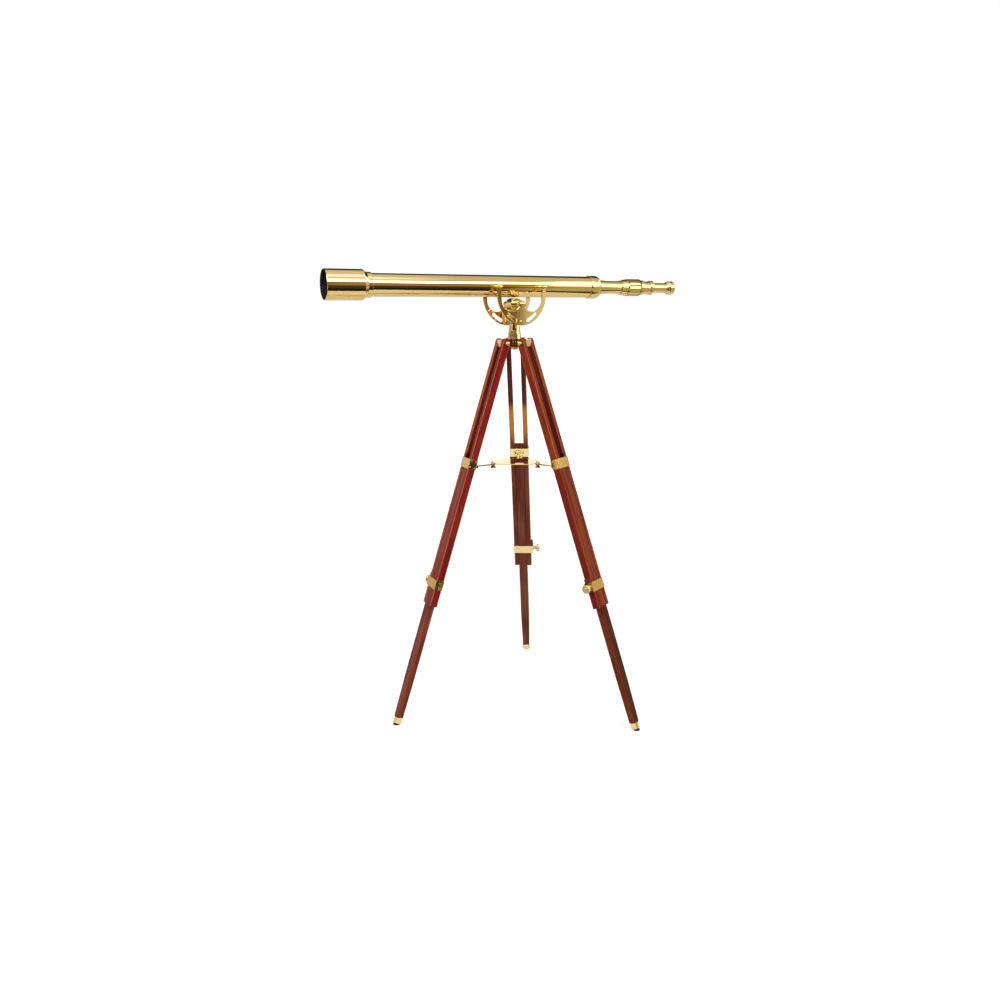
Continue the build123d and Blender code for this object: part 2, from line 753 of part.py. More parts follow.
def dew_cap():
    """The hood that screws over the cell's nose; its lip holds the lenses in."""
    lip = cell_front - seat_gap
    lip_front = lip - lens_lip_thickness
    rear = cell_shoulder - seat_gap
    inside = dew_radius - dew_wall
    outer = [
        (dew_mouth, dew_radius - dew_rim),
        (dew_mouth + dew_rim, dew_radius),
        (rear - dew_shoulder, dew_radius),
        (rear, dew_rear_radius),
    ]
    bore = [
        (dew_mouth, inside),
        (lip_front - lens_lip_slope, inside),
        (lip_front, inside - lens_lip_slope),
        (lip_front, lens_lip),
        (lip, lens_lip),
        (lip, cell_nose_radius + seat_gap),
        (rear, cell_nose_radius + seat_gap),
    ]
    return turned(outer, bore)


def cap_arc(place, radius, bulge):
    """Half of a spherical face: from its middle, on the axis, out to its edge."""
    if bulge == 0:
        return Line((place, 0), (place, radius))
    sphere = (radius**2 + bulge**2) / (2 * bulge)
    half_angle = math.asin(radius / sphere) / 2
    centre = place + bulge - sphere
    middle = (centre + sphere * math.cos(half_angle), sphere * math.sin(half_angle))
    return ThreePointArc((place + bulge, 0), middle, (place, radius))


def lens(place, thickness, radius, front_bulge, rear_bulge):
    """A lens whose faces bulge towards the objective end and the eyepiece end at their middles."""
    rear = place + thickness
    outline = [
        Line((place - front_bulge, 0), (rear + rear_bulge, 0)),
        cap_arc(rear, radius, rear_bulge),
        Line((rear, radius), (place, radius)),
        cap_arc(place, radius, -front_bulge),
    ]
    return revolve(make_face(outline), Axis.X)


def main_tube():
    inside = tube_radius - tube_wall
    tube = turned([(tube_front, tube_radius), (tube_rear, tube_radius)],
                  [(tube_front, inside), (tube_rear, inside)])
    for end in (-1, 1):
        spot = Pos(end * stud_half_spacing, 0, plate_tip_height - tube_above_axle) * Rot(90, 0, 0)
        tube = bored(tube, stud_screw_radius + seat_gap, 4 * tube_radius, spot)
    return tube


def tube_baffles():
    """Ring stops pushed into the tube, each with a rim along its wall."""
    rim = tube_radius - tube_wall - seat_gap
    rim_inside = rim - baffle_thickness
    rings = []
    for place in baffle_places:
        disc_end = place + baffle_thickness
        rim_end = place + baffle_rim_length
        bore = [
            (place, baffle_aperture),
            (disc_end, baffle_aperture),
            (disc_end, rim_inside),
            (rim_end, rim_inside),
        ]
        rings.append(turned([(place, rim), (rim_end, rim)], bore))
    return Compound(children=rings)


def rear_collar():
    """The tube's end cap: a round shoulder and the long guide of the draw tube."""
    bore = draw_radius + running_gap
    guide_outside = bore + guide_wall
    tube_outside = tube_radius + seat_gap
    tube_end = tube_rear + seat_gap
    bulge = (collar_straight_end + 0.72 * collar_taper, 0.55 * collar_radius + 0.45 * small_collar_radius)
    outline = [
        Line((collar_front + collar_edge, collar_radius), (collar_straight_end, collar_radius)),
        ThreePointArc((collar_straight_end, collar_radius), bulge, (collar_taper_end, small_collar_radius)),
        Polyline(
            (collar_taper_end, small_collar_radius),
            (small_collar_end - collar_edge, small_collar_radius),
            (small_collar_end, small_collar_radius - collar_edge),
            (small_collar_end, bore),
            (guide_front, bore),
            (guide_front, guide_outside),
            (tube_end, guide_outside),
            (tube_end, tube_outside),
            (collar_front, tube_outside),
            (collar_front, collar_radius - collar_edge),
            (collar_front + collar_edge, collar_radius),
        ),
    ]
    return revolve(make_face(outline), Axis.X)


def draw_tube():
    """The focusing tube, with a stop ring inside the main tube and a stepped flange outside."""
    inside = draw_radius - draw_wall
    stop_end = draw_front + draw_stop_length
    sleeve_end = ring_end - sleeve_inset
    outer = [
        (draw_front, draw_stop_radius),
        (stop_end, draw_stop_radius),
        (stop_end, draw_radius),
        (step_front, draw_radius),
        (step_front, step_small_radius),
        (step_middle, step_small_radius),
        (step_middle + ring_edge, step_large_radius),
        (step_end - ring_edge, step_large_radius),
        (step_end, step_large_radius - ring_edge),
        (step_end, sleeve_radius),
        (sleeve_end, sleeve_radius),
    ]
    bore = [
        (draw_front, inside),
        (step_middle, inside),
        (step_middle, sleeve_bore),
        (sleeve_end, sleeve_bore),
    ]
    return turned(outer, bore)


def power_ring():
    """The fluted ring that turns on the draw tube's sleeve."""
    front = step_end + face_gap
    lip_start = ring_end - ring_lip_length
    bore = sleeve_radius + running_gap
    outer = [
        (front, ring_radius - ring_edge),
        (front + ring_edge, ring_radius),
        (lip_start - ring_edge, ring_radius),
        (lip_start, ring_radius - ring_edge),
        (lip_start, ring_lip_radius),
        (ring_end - ring_edge, ring_lip_radius),
        (ring_end, ring_lip_radius - ring_edge),
    ]
    ring = turned(outer, [(front, bore), (ring_end, bore)])
    flute_length = lip_start - front - 2 * flute_margin
    flute = Pos((front + lip_start) / 2, 0, ring_radius) * Box(flute_length, flute_width, 2 * flute_depth)
    for index in range(flute_count):
        ring -= Rot((index + 0.5) * 360 / flute_count, 0, 0) * flute
    return ring


def eyepiece_barrel():
    """The sliding barrel, which runs out of the ring as the ring turns."""
    nose = sleeve_bore - running_gap
    outer = [(barrel_front, nose), (barrel_shoulder_place, nose)]
    start = barrel_shoulder_place
    for length, radius in barrel_steps:
        end = start + length
        outer += [(start, radius - barrel_edge), (start + barrel_edge, radius)]
        outer += [(end - barrel_edge, radius), (end, radius - barrel_edge)]
        start = end
    outer += [(barrel_body_end + barrel_shoulder, barrel_tail_radius), (barrel_tail_end, barrel_tail_radius)]
    bore = [
        (barrel_front, barrel_bore),
        (barrel_body_end, barrel_bore),
        (barrel_body_end, barrel_tail_bore),
        (barrel_tail_end, barrel_tail_bore),
    ]
    return turned(outer, bore)


def eyecup():
    """The cup on the barrel's tail, with a swept rise, a rounded end and an eye hole."""
    bore = barrel_tail_radius + seat_gap
    ledge = barrel_tail_end + seat_gap
    dome = (cup_dome_start + 0.8 * cup_dome_length, 0.45 * cup_radius + 0.55 * cup_face_radius)
    inside = cup_end - cup_eye_depth - cup_wall
    outline = [
        Spline((cup_front, cup_neck_radius), (cup_rise_end, cup_radius), tangents=[(1, 0), (1, 0)]),
        Line((cup_rise_end, cup_radius), (cup_dome_start, cup_radius)),
        ThreePointArc((cup_dome_start, cup_radius), dome, (cup_end, cup_face_radius)),
        Polyline(
            (cup_end, cup_face_radius),
            (cup_end - cup_eye_depth, cup_eye_radius),
            (inside, cup_eye_radius),
            (inside - cup_wall, cup_face_radius),
            (ledge, barrel_tail_bore),
            (ledge, bore),
            (cup_front, bore),
            (cup_front, cup_neck_radius),
        ),
    ]
    return revolve(make_face(outline), Axis.X)


def telescope_parts():
    flint_place = lens_seat - seat_gap - flint_thickness
    crown_place = flint_place - lens_air_gap - crown_thickness
    bulge = lens_curve - math.sqrt(lens_curve**2 - lens_radius**2)
    erector_radius = draw_radius - draw_wall - seat_gap
    erectors = [
        lens(draw_front + place, erector_thickness, erector_radius, lens_bulge, lens_bulge)
        for place in erector_places
    ]
    field_lens = lens(barrel_front + field_lens_place, eyepiece_lens_thickness, barrel_bore - seat_gap,
                      lens_bulge, eyepiece_lens_flatness)
    eye_lens = lens(barrel_tail_end - eye_lens_place, eyepiece_lens_thickness, barrel_tail_bore - seat_gap,
                    lens_bulge, eyepiece_lens_flatness)
    return {
        "dew_cap": dew_cap(),
        "objective_cell": objective_cell(),
        "objective_crown_lens": lens(crown_place, crown_thickness - bulge, lens_radius, bulge, bulge),
        "objective_flint_lens": lens(flint_place, flint_thickness, lens_radius, -bulge, 0),
        "main_tube": main_tube(),
        "tube_baffles": tube_baffles(),
        "rear_collar": rear_collar(),
        "draw_tube": draw_tube(),
        "erector_lenses": Compound(children=erectors),
        "power_ring": power_ring(),
        "eyepiece_barrel": eyepiece_barrel(),
        "eyepiece_lenses": Compound(children=[field_lens, eye_lens]),
        "eyecup": eyecup(),
    }


for number, azimuth in enumerate(leg_azimuths, start=1):
    place = leg_frame(azimuth)
    name = f"leg_{number}_"
    parts[name + "slat_left"] = place * slat(-1)
    parts[name + "slat_right"] = place * slat(1)
    parts[name + "lower"] = place * lower_leg()
    parts[name + "ferrule"] = place * ferrule()
    parts[name + "rubber_tip"] = rubber_tip(azimuth)
    parts[name + "upper_band"] = place * upper_band()
    parts[name + "clamp_band"] = place * clamp_band()
    parts[name + "pressure_pad"] = place * pressure_pad()
    parts[name + "clamp_screw"] = place * clamp_screw()
    parts[name + "hinge_bolt"] = place * hinge_bolt()
    parts[name + "bracket"] = place * spreader_bracket()
    parts[name + "spreader_arm"] = spreader_arm(azimuth)

parts["spreader_tray"] = spreader_tray()
parts["tray_bolts"] = at_tray_bolts(Rot(0, 90, 0) * tray_bolt())
parts["tray_wing_nuts"] = at_tray_bolts(tray_wing_nut())

parts["hub_crown"] = hub_crown()
parts["azimuth_clamp_screw"] = azimuth_clamp_screw()
parts["fork_post"] = fork_post()
parts["pintle_nut"] = pintle_nut()

cradle = Pos(0, 0, axle_height) * Rot(0, rest_elevation, 0)
parts["cradle_plate_near"] = cradle * Pos(0, -plate_inner_face, 0) * cradle_plate()
parts["cradle_plate_far"] = cradle * Rot(0, 0, 180) * Pos(0, -plate_inner_face, 0) * cradle_plate()
parts["altitude_axle"] = cradle * altitude_axle()
parts["yoke_studs"] = cradle * yoke_studs()

for name, piece in telescope_parts().items():
    parts[name] = cradle * Pos(0, 0, tube_above_axle) * piece

for name, piece in parts.items():
    export_step(piece, f"parts/{name}.step")
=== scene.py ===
import json
import math
import bmesh
import bpy
from mathutils import Matrix, Vector


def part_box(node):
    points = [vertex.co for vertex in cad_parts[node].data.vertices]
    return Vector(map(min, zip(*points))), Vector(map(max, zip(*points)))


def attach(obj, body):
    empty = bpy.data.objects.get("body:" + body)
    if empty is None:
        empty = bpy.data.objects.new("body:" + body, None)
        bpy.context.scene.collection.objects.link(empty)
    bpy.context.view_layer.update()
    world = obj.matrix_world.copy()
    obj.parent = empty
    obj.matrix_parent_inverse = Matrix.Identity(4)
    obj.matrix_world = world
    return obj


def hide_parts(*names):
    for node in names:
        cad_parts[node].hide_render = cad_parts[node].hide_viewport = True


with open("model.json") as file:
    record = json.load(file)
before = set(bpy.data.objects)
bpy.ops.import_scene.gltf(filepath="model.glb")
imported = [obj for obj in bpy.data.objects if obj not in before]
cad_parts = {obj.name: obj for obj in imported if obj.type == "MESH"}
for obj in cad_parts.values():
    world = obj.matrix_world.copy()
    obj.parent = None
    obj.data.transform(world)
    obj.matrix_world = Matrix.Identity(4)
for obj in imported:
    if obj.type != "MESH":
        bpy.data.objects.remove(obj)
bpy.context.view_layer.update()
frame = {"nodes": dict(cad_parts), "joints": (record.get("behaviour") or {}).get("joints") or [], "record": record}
nodes = frame["nodes"]
joints = {joint["name"]: joint for joint in frame["joints"]}
bodies = frame["record"]["behaviour"]["bodies"]
bodyOf = {node: body for body, members in bodies.items() for node in members}
legNumbers = (1, 2, 3)
print("frame loaded:", len(nodes), "nodes")


# Places: each frame of reference is read from the joints and boxes of the model.

def jointPlace(name):
    return Vector(joints[name]["pos_m"])


def jointAxis(name):
    return Vector(joints[name]["axis"]).normalized()


def boxCentre(name):
    low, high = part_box(name)
    return (low + high) / 2


def placeOf(origin, xAxis, yAxis, zAxis):
    place = Matrix((xAxis, yAxis, zAxis)).transposed().to_4x4()
    place.translation = origin
    return place


def legPlace(number):
    # origin at the leg's hinge, +Z up the leg, +Y along the hinge, +X outwards
    up = -jointAxis(f"leg_{number}_extend")
    across = jointAxis(f"leg_{number}_fold")
    return placeOf(jointPlace(f"leg_{number}_fold"), across.cross(up).normalized(), across, up)


def tubePlace():
    # origin on the telescope's axis above the axle, +X towards the eyepiece
    along = jointAxis("draw_focus")
    across = Vector((0, 1, 0))
    middle = boxCentre("main_tube")
    origin = middle + along * (jointPlace("altitude_tilt") - middle).dot(along)
    return placeOf(origin, along, across, along.cross(across).normalized())


def screwPlace(jointName):
    # a thumb screw's own frame, +X out of its head
    along = jointAxis(jointName)
    side = Vector((1, 0, 0)) if along.z > 0.5 else Vector((0, 0, 1))
    across = side.cross(along).normalized()
    return placeOf(jointPlace(jointName), along, across, along.cross(across).normalized())


def localBox(nodeName, place):
    # a node's lowest and highest corners in the given frame
    toLocal = place.inverted()
    points = [toLocal @ vertex.co for vertex in nodes[nodeName].data.vertices]
    low = Vector([min(point[axis] for point in points) for axis in range(3)])
    high = Vector([max(point[axis] for point in points) for axis in range(3)])
    return low, high


def alongLeg(height):
    # a height above the floor as a place on a leg's own Z axis
    return (height - jointPlace("leg_1_fold").z) / -jointAxis("leg_1_extend").z


scope = tubePlace()
legPlaces = {number: legPlace(number) for number in legNumbers}
standing = placeOf(Vector((0, 0, 0)), Vector((0, 0, 1)), Vector((1, 0, 0)), Vector((0, 1, 0)))
flat = Matrix.Identity(4)


# Small helpers for node trees

def wire(tree, source, target):
    # an input takes a plain value, or what another node puts out
    if isinstance(source, (int, float, tuple, list)):
        target.default_value = source
    else:
        tree.links.new(source, target)


def fill(tree, inputs, **values):
    # each input gets its value or its link by name, with _ for a space
    for name, value in values.items():
        wire(tree, value, inputs[name.replace("_", " ")])


def newNode(tree, kind, **values):
    node = tree.nodes.new(kind)
    fill(tree, node.inputs, **values)
    return node


def sums(tree, operation, first, second=0.0, third=0.0):
    node = tree.nodes.new("ShaderNodeMath")
    node.operation = operation
    for value, target in zip((first, second, third), node.inputs):
        wire(tree, value, target)
    return node.outputs[0]


def times(tree, first, *others):
    for other in others:
        first = sums(tree, "MULTIPLY", first, other)
    return first


def inverse(tree, value):
    return sums(tree, "SUBTRACT", 1.0, value)


def size(tree, value):
    return sums(tree, "ABSOLUTE", value)


def distance(tree, first, second):
    # how far a point lies from an axis, by its two places across it
    return sums(tree, "SQRT", sums(tree, "ADD", times(tree, first, first), times(tree, second, second)))


def smoothStep(tree, value, low, high):
    # 0 at the first number and 1 at the second, whichever is larger
    node = newNode(tree, "ShaderNodeMapRange", Value=value, From_Min=low, From_Max=high)
    node.interpolation_type = "SMOOTHSTEP"
    return node.outputs["Result"]


def spread(tree, value, low, high):
    # a 0..1 value spread between two numbers
    return newNode(tree, "ShaderNodeMapRange", Value=value, To_Min=low, To_Max=high).outputs["Result"]


def noise(tree, vector, scale, detail=3.0, roughness=0.5, stretch=(1, 1, 1)):
    mapping = newNode(tree, "ShaderNodeMapping", Vector=vector, Scale=stretch)
    node = newNode(tree, "ShaderNodeTexNoise", Vector=mapping.outputs[0], Scale=scale, Detail=detail,
                   Roughness=roughness)
    return node.outputs["Fac"]


def blended(tree, factor, first, second, mode="MIX"):
    node = tree.nodes.new("ShaderNodeMix")
    node.data_type = "RGBA"
    node.blend_type = mode
    node.clamp_factor = True
    wire(tree, factor, node.inputs[0])
    wire(tree, first, node.inputs[6])
    wire(tree, second, node.inputs[7])
    return node.outputs[2]


def split(tree, vector):
    return newNode(tree, "ShaderNodeSeparateXYZ", Vector=vector).outputs


def socketKind(value):
    # the kind of socket that a plain value goes into
    if isinstance(value, tuple):
        return "Color" if len(value) == 4 else "Vector"
    return "Int" if isinstance(value, int) else "Float"


def newTree(kind, name, inputs, outputs):
    # each socket is given by its kind, or by the plain value it starts from
    tree = bpy.data.node_groups.new(name, kind + "NodeTree")
    for direction, sockets in (("INPUT", inputs), ("OUTPUT", outputs)):
        for socketName, value in sockets.items():
            plain = not isinstance(value, str)
            socket = tree.interface.new_socket(
                socketName.replace("_", " "), in_out=direction,
                socket_type="NodeSocket" + (socketKind(value) if plain else value))
            if plain:
                socket.default_value = value
    return tree, tree.nodes.new("NodeGroupInput").outputs, tree.nodes.new("NodeGroupOutput").inputs


def newGroup(name, outputs, **inputs):
    # an effect that is worked out at a place in a piece's own frame
    return newTree("Shader", name, {"Vector": "Vector", **inputs}, outputs)


def colour(red, green, blue):
    return (red, green, blue, 1.0)


# Shared effects

grainScales = {"bands": 260.0, "streaks": 900.0, "pores": 2200.0}
grainDepths = {"bands": 0.45, "streaks": 0.35}


def makeWoodGrain():
    # straight grain along Z with open pores, growth bands and slow changes of tone
    tree, given, result = newGroup(
        "woodGrain", {"Color": "Color", "Height": "Float", "Roughness": "Float"},
        Base=colour(0.20, 0.02, 0.012), Warm=colour(0.30, 0.06, 0.02), Dark=colour(0.05, 0.008, 0.006),
        Tone_Length=6.0, Pore_Strength=0.5, Offset=(0, 0, 0))
    shifted = tree.nodes.new("ShaderNodeVectorMath")
    tree.links.new(given["Vector"], shifted.inputs[0])
    tree.links.new(given["Offset"], shifted.inputs[1])
    vector = shifted.outputs[0]
    tone = noise(tree, vector, given["Tone Length"], 2.0, stretch=(6, 6, 1))
    bands = noise(tree, vector, grainScales["bands"], 3.0, 0.6, stretch=(1, 1, 0.03))
    streaks = noise(tree, vector, grainScales["streaks"], 2.0, 0.6, stretch=(1, 1, 0.02))
    pores = noise(tree, vector, grainScales["pores"], 1.0, stretch=(1, 1, 0.035))
    poreMask = smoothStep(tree, pores, 0.60, 0.72)
    body = blended(tree, smoothStep(tree, tone, 0.38, 0.62), given["Base"], given["Warm"])
    masks = (
        spread(tree, smoothStep(tree, bands, 0.35, 0.75), 0.0, grainDepths["bands"]),
        spread(tree, smoothStep(tree, streaks, 0.45, 0.8), 0.0, grainDepths["streaks"]),
        times(tree, poreMask, given["Pore Strength"]),
    )
    for mask in masks:
        body = blended(tree, mask, body, given["Dark"])
    height = sums(tree, "MULTIPLY_ADD", poreMask, -1.0, bands)
    fill(tree, result, Color=body, Height=height, Roughness=spread(tree, bands, 0.30, 0.46))
    return tree


def makeBarEdges():
    # 1 along the four long edges of a bar that runs along Z
    tree, given, result = newGroup("barEdges", {"Mask": "Float"}, Middle=0.0, Half_Width=0.01,
                                   Half_Depth=0.01, Reach=0.0012)
    place = split(tree, given["Vector"])
    # both slats stand at the same distance from the middle plane
    offMiddle = size(tree, sums(tree, "SUBTRACT", size(tree, place["Y"]), given["Middle"]))
    sideGap = sums(tree, "SUBTRACT", given["Half Width"], offMiddle)
    faceGap = sums(tree, "SUBTRACT", given["Half Depth"], size(tree, place["X"]))
    uneven = spread(tree, noise(tree, given["Vector"], 160.0, 3.0), 0.35, 1.5)
    reach = times(tree, given["Reach"], uneven)
    edge = smoothStep(tree, sums(tree, "MAXIMUM", sideGap, faceGap), 0.0, reach)
    fill(tree, result, Mask=inverse(tree, edge))
    return tree


def makeMetalTone():
    # faint tarnish, smudges in the polish, and fine scratches
    tree, given, result = newGroup(
        "metalTone", {"Color": "Color", "Roughness": "Float", "Height": "Float"},
        Bright=colour(0.83, 0.60, 0.25), Tarnish=colour(0.60, 0.36, 0.12), Tarnish_Amount=0.25,
        Smooth=0.06, Smudged=0.16, Scratch_Scale=900.0)
    cloud = noise(tree, given["Vector"], 14.0, 4.0, 0.55)
    speck = noise(tree, given["Vector"], 120.0, 3.0, 0.6)
    tarnished = times(tree, smoothStep(tree, cloud, 0.35, 0.75), given["Tarnish Amount"])
    dulled = times(tree, smoothStep(tree, cloud, 0.4, 0.8), smoothStep(tree, speck, 0.3, 0.8))
    fill(tree, result, Color=blended(tree, tarnished, given["Bright"], given["Tarnish"]),
         Roughness=spread(tree, dulled, given["Smooth"], given["Smudged"]),
         Height=noise(tree, given["Vector"], given["Scratch Scale"], 2.0, 0.7, stretch=(0.06, 1, 1)))
    return tree


def makeLatheLines():
    # fine turning marks round the X axis
    tree, given, result = newGroup("latheLines", {"Height": "Float"}, Pitch=0.0006)
    turns = sums(tree, "DIVIDE", split(tree, given["Vector"])["X"], given["Pitch"])
    wave = sums(tree, "SINE", times(tree, turns, 2 * math.pi))
    wobble = noise(tree, given["Vector"], 400.0, 2.0, stretch=(1, 0.02, 0.02))
    fill(tree, result, Height=times(tree, wave, wobble))
    return tree


def makeBoreMask():
    # 1 inside a given radius from the X axis, ahead of a given place
    tree, given, result = newGroup("boreMask", {"Mask": "Float"}, Radius=0.038, Front=0.0, Feather=0.0002)
    x, y, z = split(tree, given["Vector"])
    beyond = sums(tree, "ADD", given["Radius"], given["Feather"])
    mask = inverse(tree, smoothStep(tree, distance(tree, y, z), given["Radius"], beyond))
    fill(tree, result, Mask=times(tree, mask, sums(tree, "LESS_THAN", x, given["Front"])))
    return tree


woodGrain = makeWoodGrain()
barEdges = makeBarEdges()
metalTone = makeMetalTone()
latheLines = makeLatheLines()
boreMask = makeBoreMask()
print("shared effects made")


# Materials

def materialName(nodeName, finish):
    first, *others = nodeName.split("_")
    return first + "".join(word.capitalize() for word in others) + finish


def newMaterial(name):
    material = bpy.data.materials.new(name)
    material.use_nodes = True
    tree = material.node_tree
    return material, tree, tree.nodes["Principled BSDF"]


def objectPlace(tree):
    return tree.nodes.new("ShaderNodeTexCoord").outputs["Object"]


def localCoordinates(tree, place):
    # object coordinates turned into the piece's own frame
    mapping = newNode(tree, "ShaderNodeMapping", Vector=objectPlace(tree),
                      Location=tuple(place.to_translation()), Rotation=tuple(place.to_euler("XYZ")))
    mapping.vector_type = "TEXTURE"
    return mapping.outputs[0]


def useGroup(tree, group, **values):
    node = tree.nodes.new("ShaderNodeGroup")
    node.node_tree = group
    fill(tree, node.inputs, **values)
    return node.outputs


def bump(tree, height, depth):
    return newNode(tree, "ShaderNodeBump", Height=height, Distance=depth, Strength=1.0).outputs["Normal"]


# each plank's ground, its warm streaks, and its edges, lighter with painted highlight and wear
woodTones = {
    "near1": (colour(0.250, 0.005, 0.009), colour(0.33, 0.018, 0.013), colour(0.60, 0.22, 0.09)),
    # the first leg's far slat is lighter: painted light for its lit outer face
    "far1": (colour(0.42, 0.055, 0.020), colour(0.53, 0.10, 0.034), colour(0.60, 0.22, 0.09)),
    "lower1": (colour(0.180, 0.020, 0.013), colour(0.29, 0.055, 0.030), colour(0.36, 0.13, 0.07)),
    "near2": (colour(0.215, 0.020, 0.011), colour(0.33, 0.050, 0.018), colour(0.56, 0.18, 0.06)),
    "far2": (colour(0.225, 0.028, 0.012), colour(0.34, 0.062, 0.020), colour(0.48, 0.14, 0.05)),
    "lower2": (colour(0.225, 0.034, 0.011), colour(0.33, 0.064, 0.018), colour(0.36, 0.12, 0.05)),
    "near3": (colour(0.160, 0.032, 0.015), colour(0.25, 0.068, 0.030), colour(0.36, 0.15, 0.08)),
    "lower3": (colour(0.160, 0.034, 0.019), colour(0.24, 0.068, 0.038), colour(0.36, 0.15, 0.09)),
}
# how glossy each leg's varnish has stayed, how dark its lower leg is stained all over and how much painted
# shade its outer face gets, and how much painted shade falls on the sides of its slats that look at each other
legWearAndShade = {
    1: {"gloss": 0.13, "stain": (0.0, 0.35), "inside": 0.8},
    2: {"gloss": 0.04, "stain": (0.38, 0.8), "inside": 0.35},
    3: {"gloss": 0.09, "stain": (0.0, 0.35), "inside": 0.8},
}
# shares from 0 to 1, depths and reaches in metres, and pairs of places between which a mark fades in
woodFinish = {
    "dark": colour(0.036, 0.006, 0.005), "specularTint": colour(1.0, 0.85, 0.55), "grainDepth": 0.00006,
    "edgeWear": 0.85, "edgeReach": 0.0026,
    "seamDirt": 0.85, "seamWidth": (0.0004, 0.0021), "seamFade": 0.004, "shelter": 0.012,
    "stainFace": (0.0085, 0.0105), "insideFace": (0.0012, 0.0006), "insideDepth": (0.0075, 0.0045),
    "deepRed": colour(0.155, 0.010, 0.008), "deepRedShare": 0.65, "deepRedFace": (0.0010, 0.0004),
    "deepRedFade": 0.02,
    "faded": colour(0.58, 0.26, 0.055), "fadedShare": 0.85, "fadedTop": (-0.180, -0.215),
    "fadedEnd": (-0.335, -0.260), "unfadedShade": 0.55,
}


def barSection(nodeName):
    # how a bar of the first leg lies across it; the other legs are the same
    low, high = localBox(nodeName, legPlaces[1])
    return {"middle": abs(low.y + high.y) / 2, "halfWidth": (high.y - low.y) / 2, "halfDepth": high.x}


slatBar, lowerBar = barSection("leg_1_slat_left"), barSection("leg_1_lower")
slatSides = (slatBar["middle"] - slatBar["halfWidth"], slatBar["middle"] + slatBar["halfWidth"])
seamPlace = (lowerBar["halfWidth"] + slatSides[0]) / 2  # where the slats and the lower leg meet
slatEnd = alongLeg(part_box("leg_1_slat_left")[0].z)
lowerTop = alongLeg(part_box("leg_1_lower")[1].z)


def plankName(nodeName, number):
    # the lower legs, and the bars on the far side of the first two legs, come from other planks; the first
    # leg's far bar is also lighter with painted light
    if nodeName.endswith("lower"):
        return f"lower{number}"
    pairMiddle = (boxCentre(f"leg_{number}_slat_left") + boxCentre(f"leg_{number}_slat_right")) / 2
    far = number < 3 and (boxCentre(nodeName) - pairMiddle).y > 0.0
    return f"far{number}" if far else f"near{number}"


def slatMarks(tree, plank, place):
    # painted shade, and the marks that time has left on a slat, as pairs of a mask and a colour
    number = int(plank[-1])
    x, apart, z = place["X"], size(tree, place["Y"]), place["Z"]
    # painted shade on the sides of the slats that look at each other, deepest towards the leg's inside
    near, beyond = woodFinish["insideFace"]
    inside = times(tree, smoothStep(tree, apart, seamPlace + near, seamPlace + beyond),
                   smoothStep(tree, x, *woodFinish["insideDepth"]))
    marks = [(times(tree, inside, legWearAndShade[number]["inside"]), woodFinish["dark"])]
    if plank == "near2":
        # the outer side of this slat has kept a deeper red below its band
        near, beyond = woodFinish["deepRedFace"]
        deep = times(tree, smoothStep(tree, apart, slatSides[1] - near, slatSides[1] - beyond),
                     smoothStep(tree, z, lowerTop, lowerTop - woodFinish["deepRedFade"]))
        marks.append((times(tree, deep, woodFinish["deepRedShare"]), woodFinish["deepRed"]))
    if number == 3:
        # the back leg's slats are paler and golden in a stretch above its band, and darker above that
        top, bottom = woodFinish["fadedTop"]
        faded = times(tree, smoothStep(tree, z, top, bottom), smoothStep(tree, z, *woodFinish["fadedEnd"]))
        darkAbove = times(tree, smoothStep(tree, z, bottom, top), woodFinish["unfadedShade"])
        marks.append((darkAbove, woodFinish["dark"]))
        marks.append((times(tree, faded, woodFinish["fadedShare"]), woodFinish["faded"]))
    return marks


def makeMahogany(nodeName, number, offset):
    plank = plankName(nodeName, number)
    lower = plank.startswith("lower")
    bar = lowerBar if lower else slatBar
    base, warm, edge = woodTones[plank]
    dark = woodFinish["dark"]
    material, tree, shader = newMaterial(materialName(nodeName, "Mahogany"))
    vector = localCoordinates(tree, legPlaces[number])
    grain = useGroup(tree, woodGrain, Vector=vector, Base=base, Warm=warm, Dark=dark, Offset=offset)
    edges = useGroup(tree, barEdges, Vector=vector, Middle=bar["middle"], Half_Width=bar["halfWidth"],
                     Half_Depth=bar["halfDepth"], Reach=woodFinish["edgeReach"])
    place = split(tree, vector)
    # painted shade in the gap between slat and lower leg
    beside = size(tree, sums(tree, "SUBTRACT", size(tree, place["Y"]), seamPlace))
    seam = inverse(tree, smoothStep(tree, beside, *woodFinish["seamWidth"]))
    seam = times(tree, seam, smoothStep(tree, place["Z"], lowerTop, lowerTop - woodFinish["seamFade"]))
    if lower:
        sheltered = smoothStep(tree, place["Z"], slatEnd, slatEnd + woodFinish["shelter"])
        seam = times(tree, seam, sheltered)
        # below the slats the lower leg is stained all over, and its outer face gets painted shade as well
        outer = smoothStep(tree, place["X"], *woodFinish["stainFace"])
        stainedAndShaded = times(tree, spread(tree, outer, *legWearAndShade[number]["stain"]), inverse(tree, sheltered))
        marks = [(stainedAndShaded, dark)]
    else:
        marks = slatMarks(tree, plank, place)
    # painted highlight and wear along the long edges of each bar
    edgeLitAndWorn = times(tree, edges["Mask"], woodFinish["edgeWear"], inverse(tree, seam))
    tint = grain["Color"]
    for mask, paint in [(edgeLitAndWorn, edge), (times(tree, seam, woodFinish["seamDirt"]), dark)] + marks:
        tint = blended(tree, mask, tint, paint)
    fill(tree, shader.inputs, Base_Color=tint, Roughness=grain["Roughness"],
         Normal=bump(tree, grain["Height"], woodFinish["grainDepth"]),
         Specular_IOR_Level=legWearAndShade[number]["gloss"], Specular_Tint=woodFinish["specularTint"])
    return material


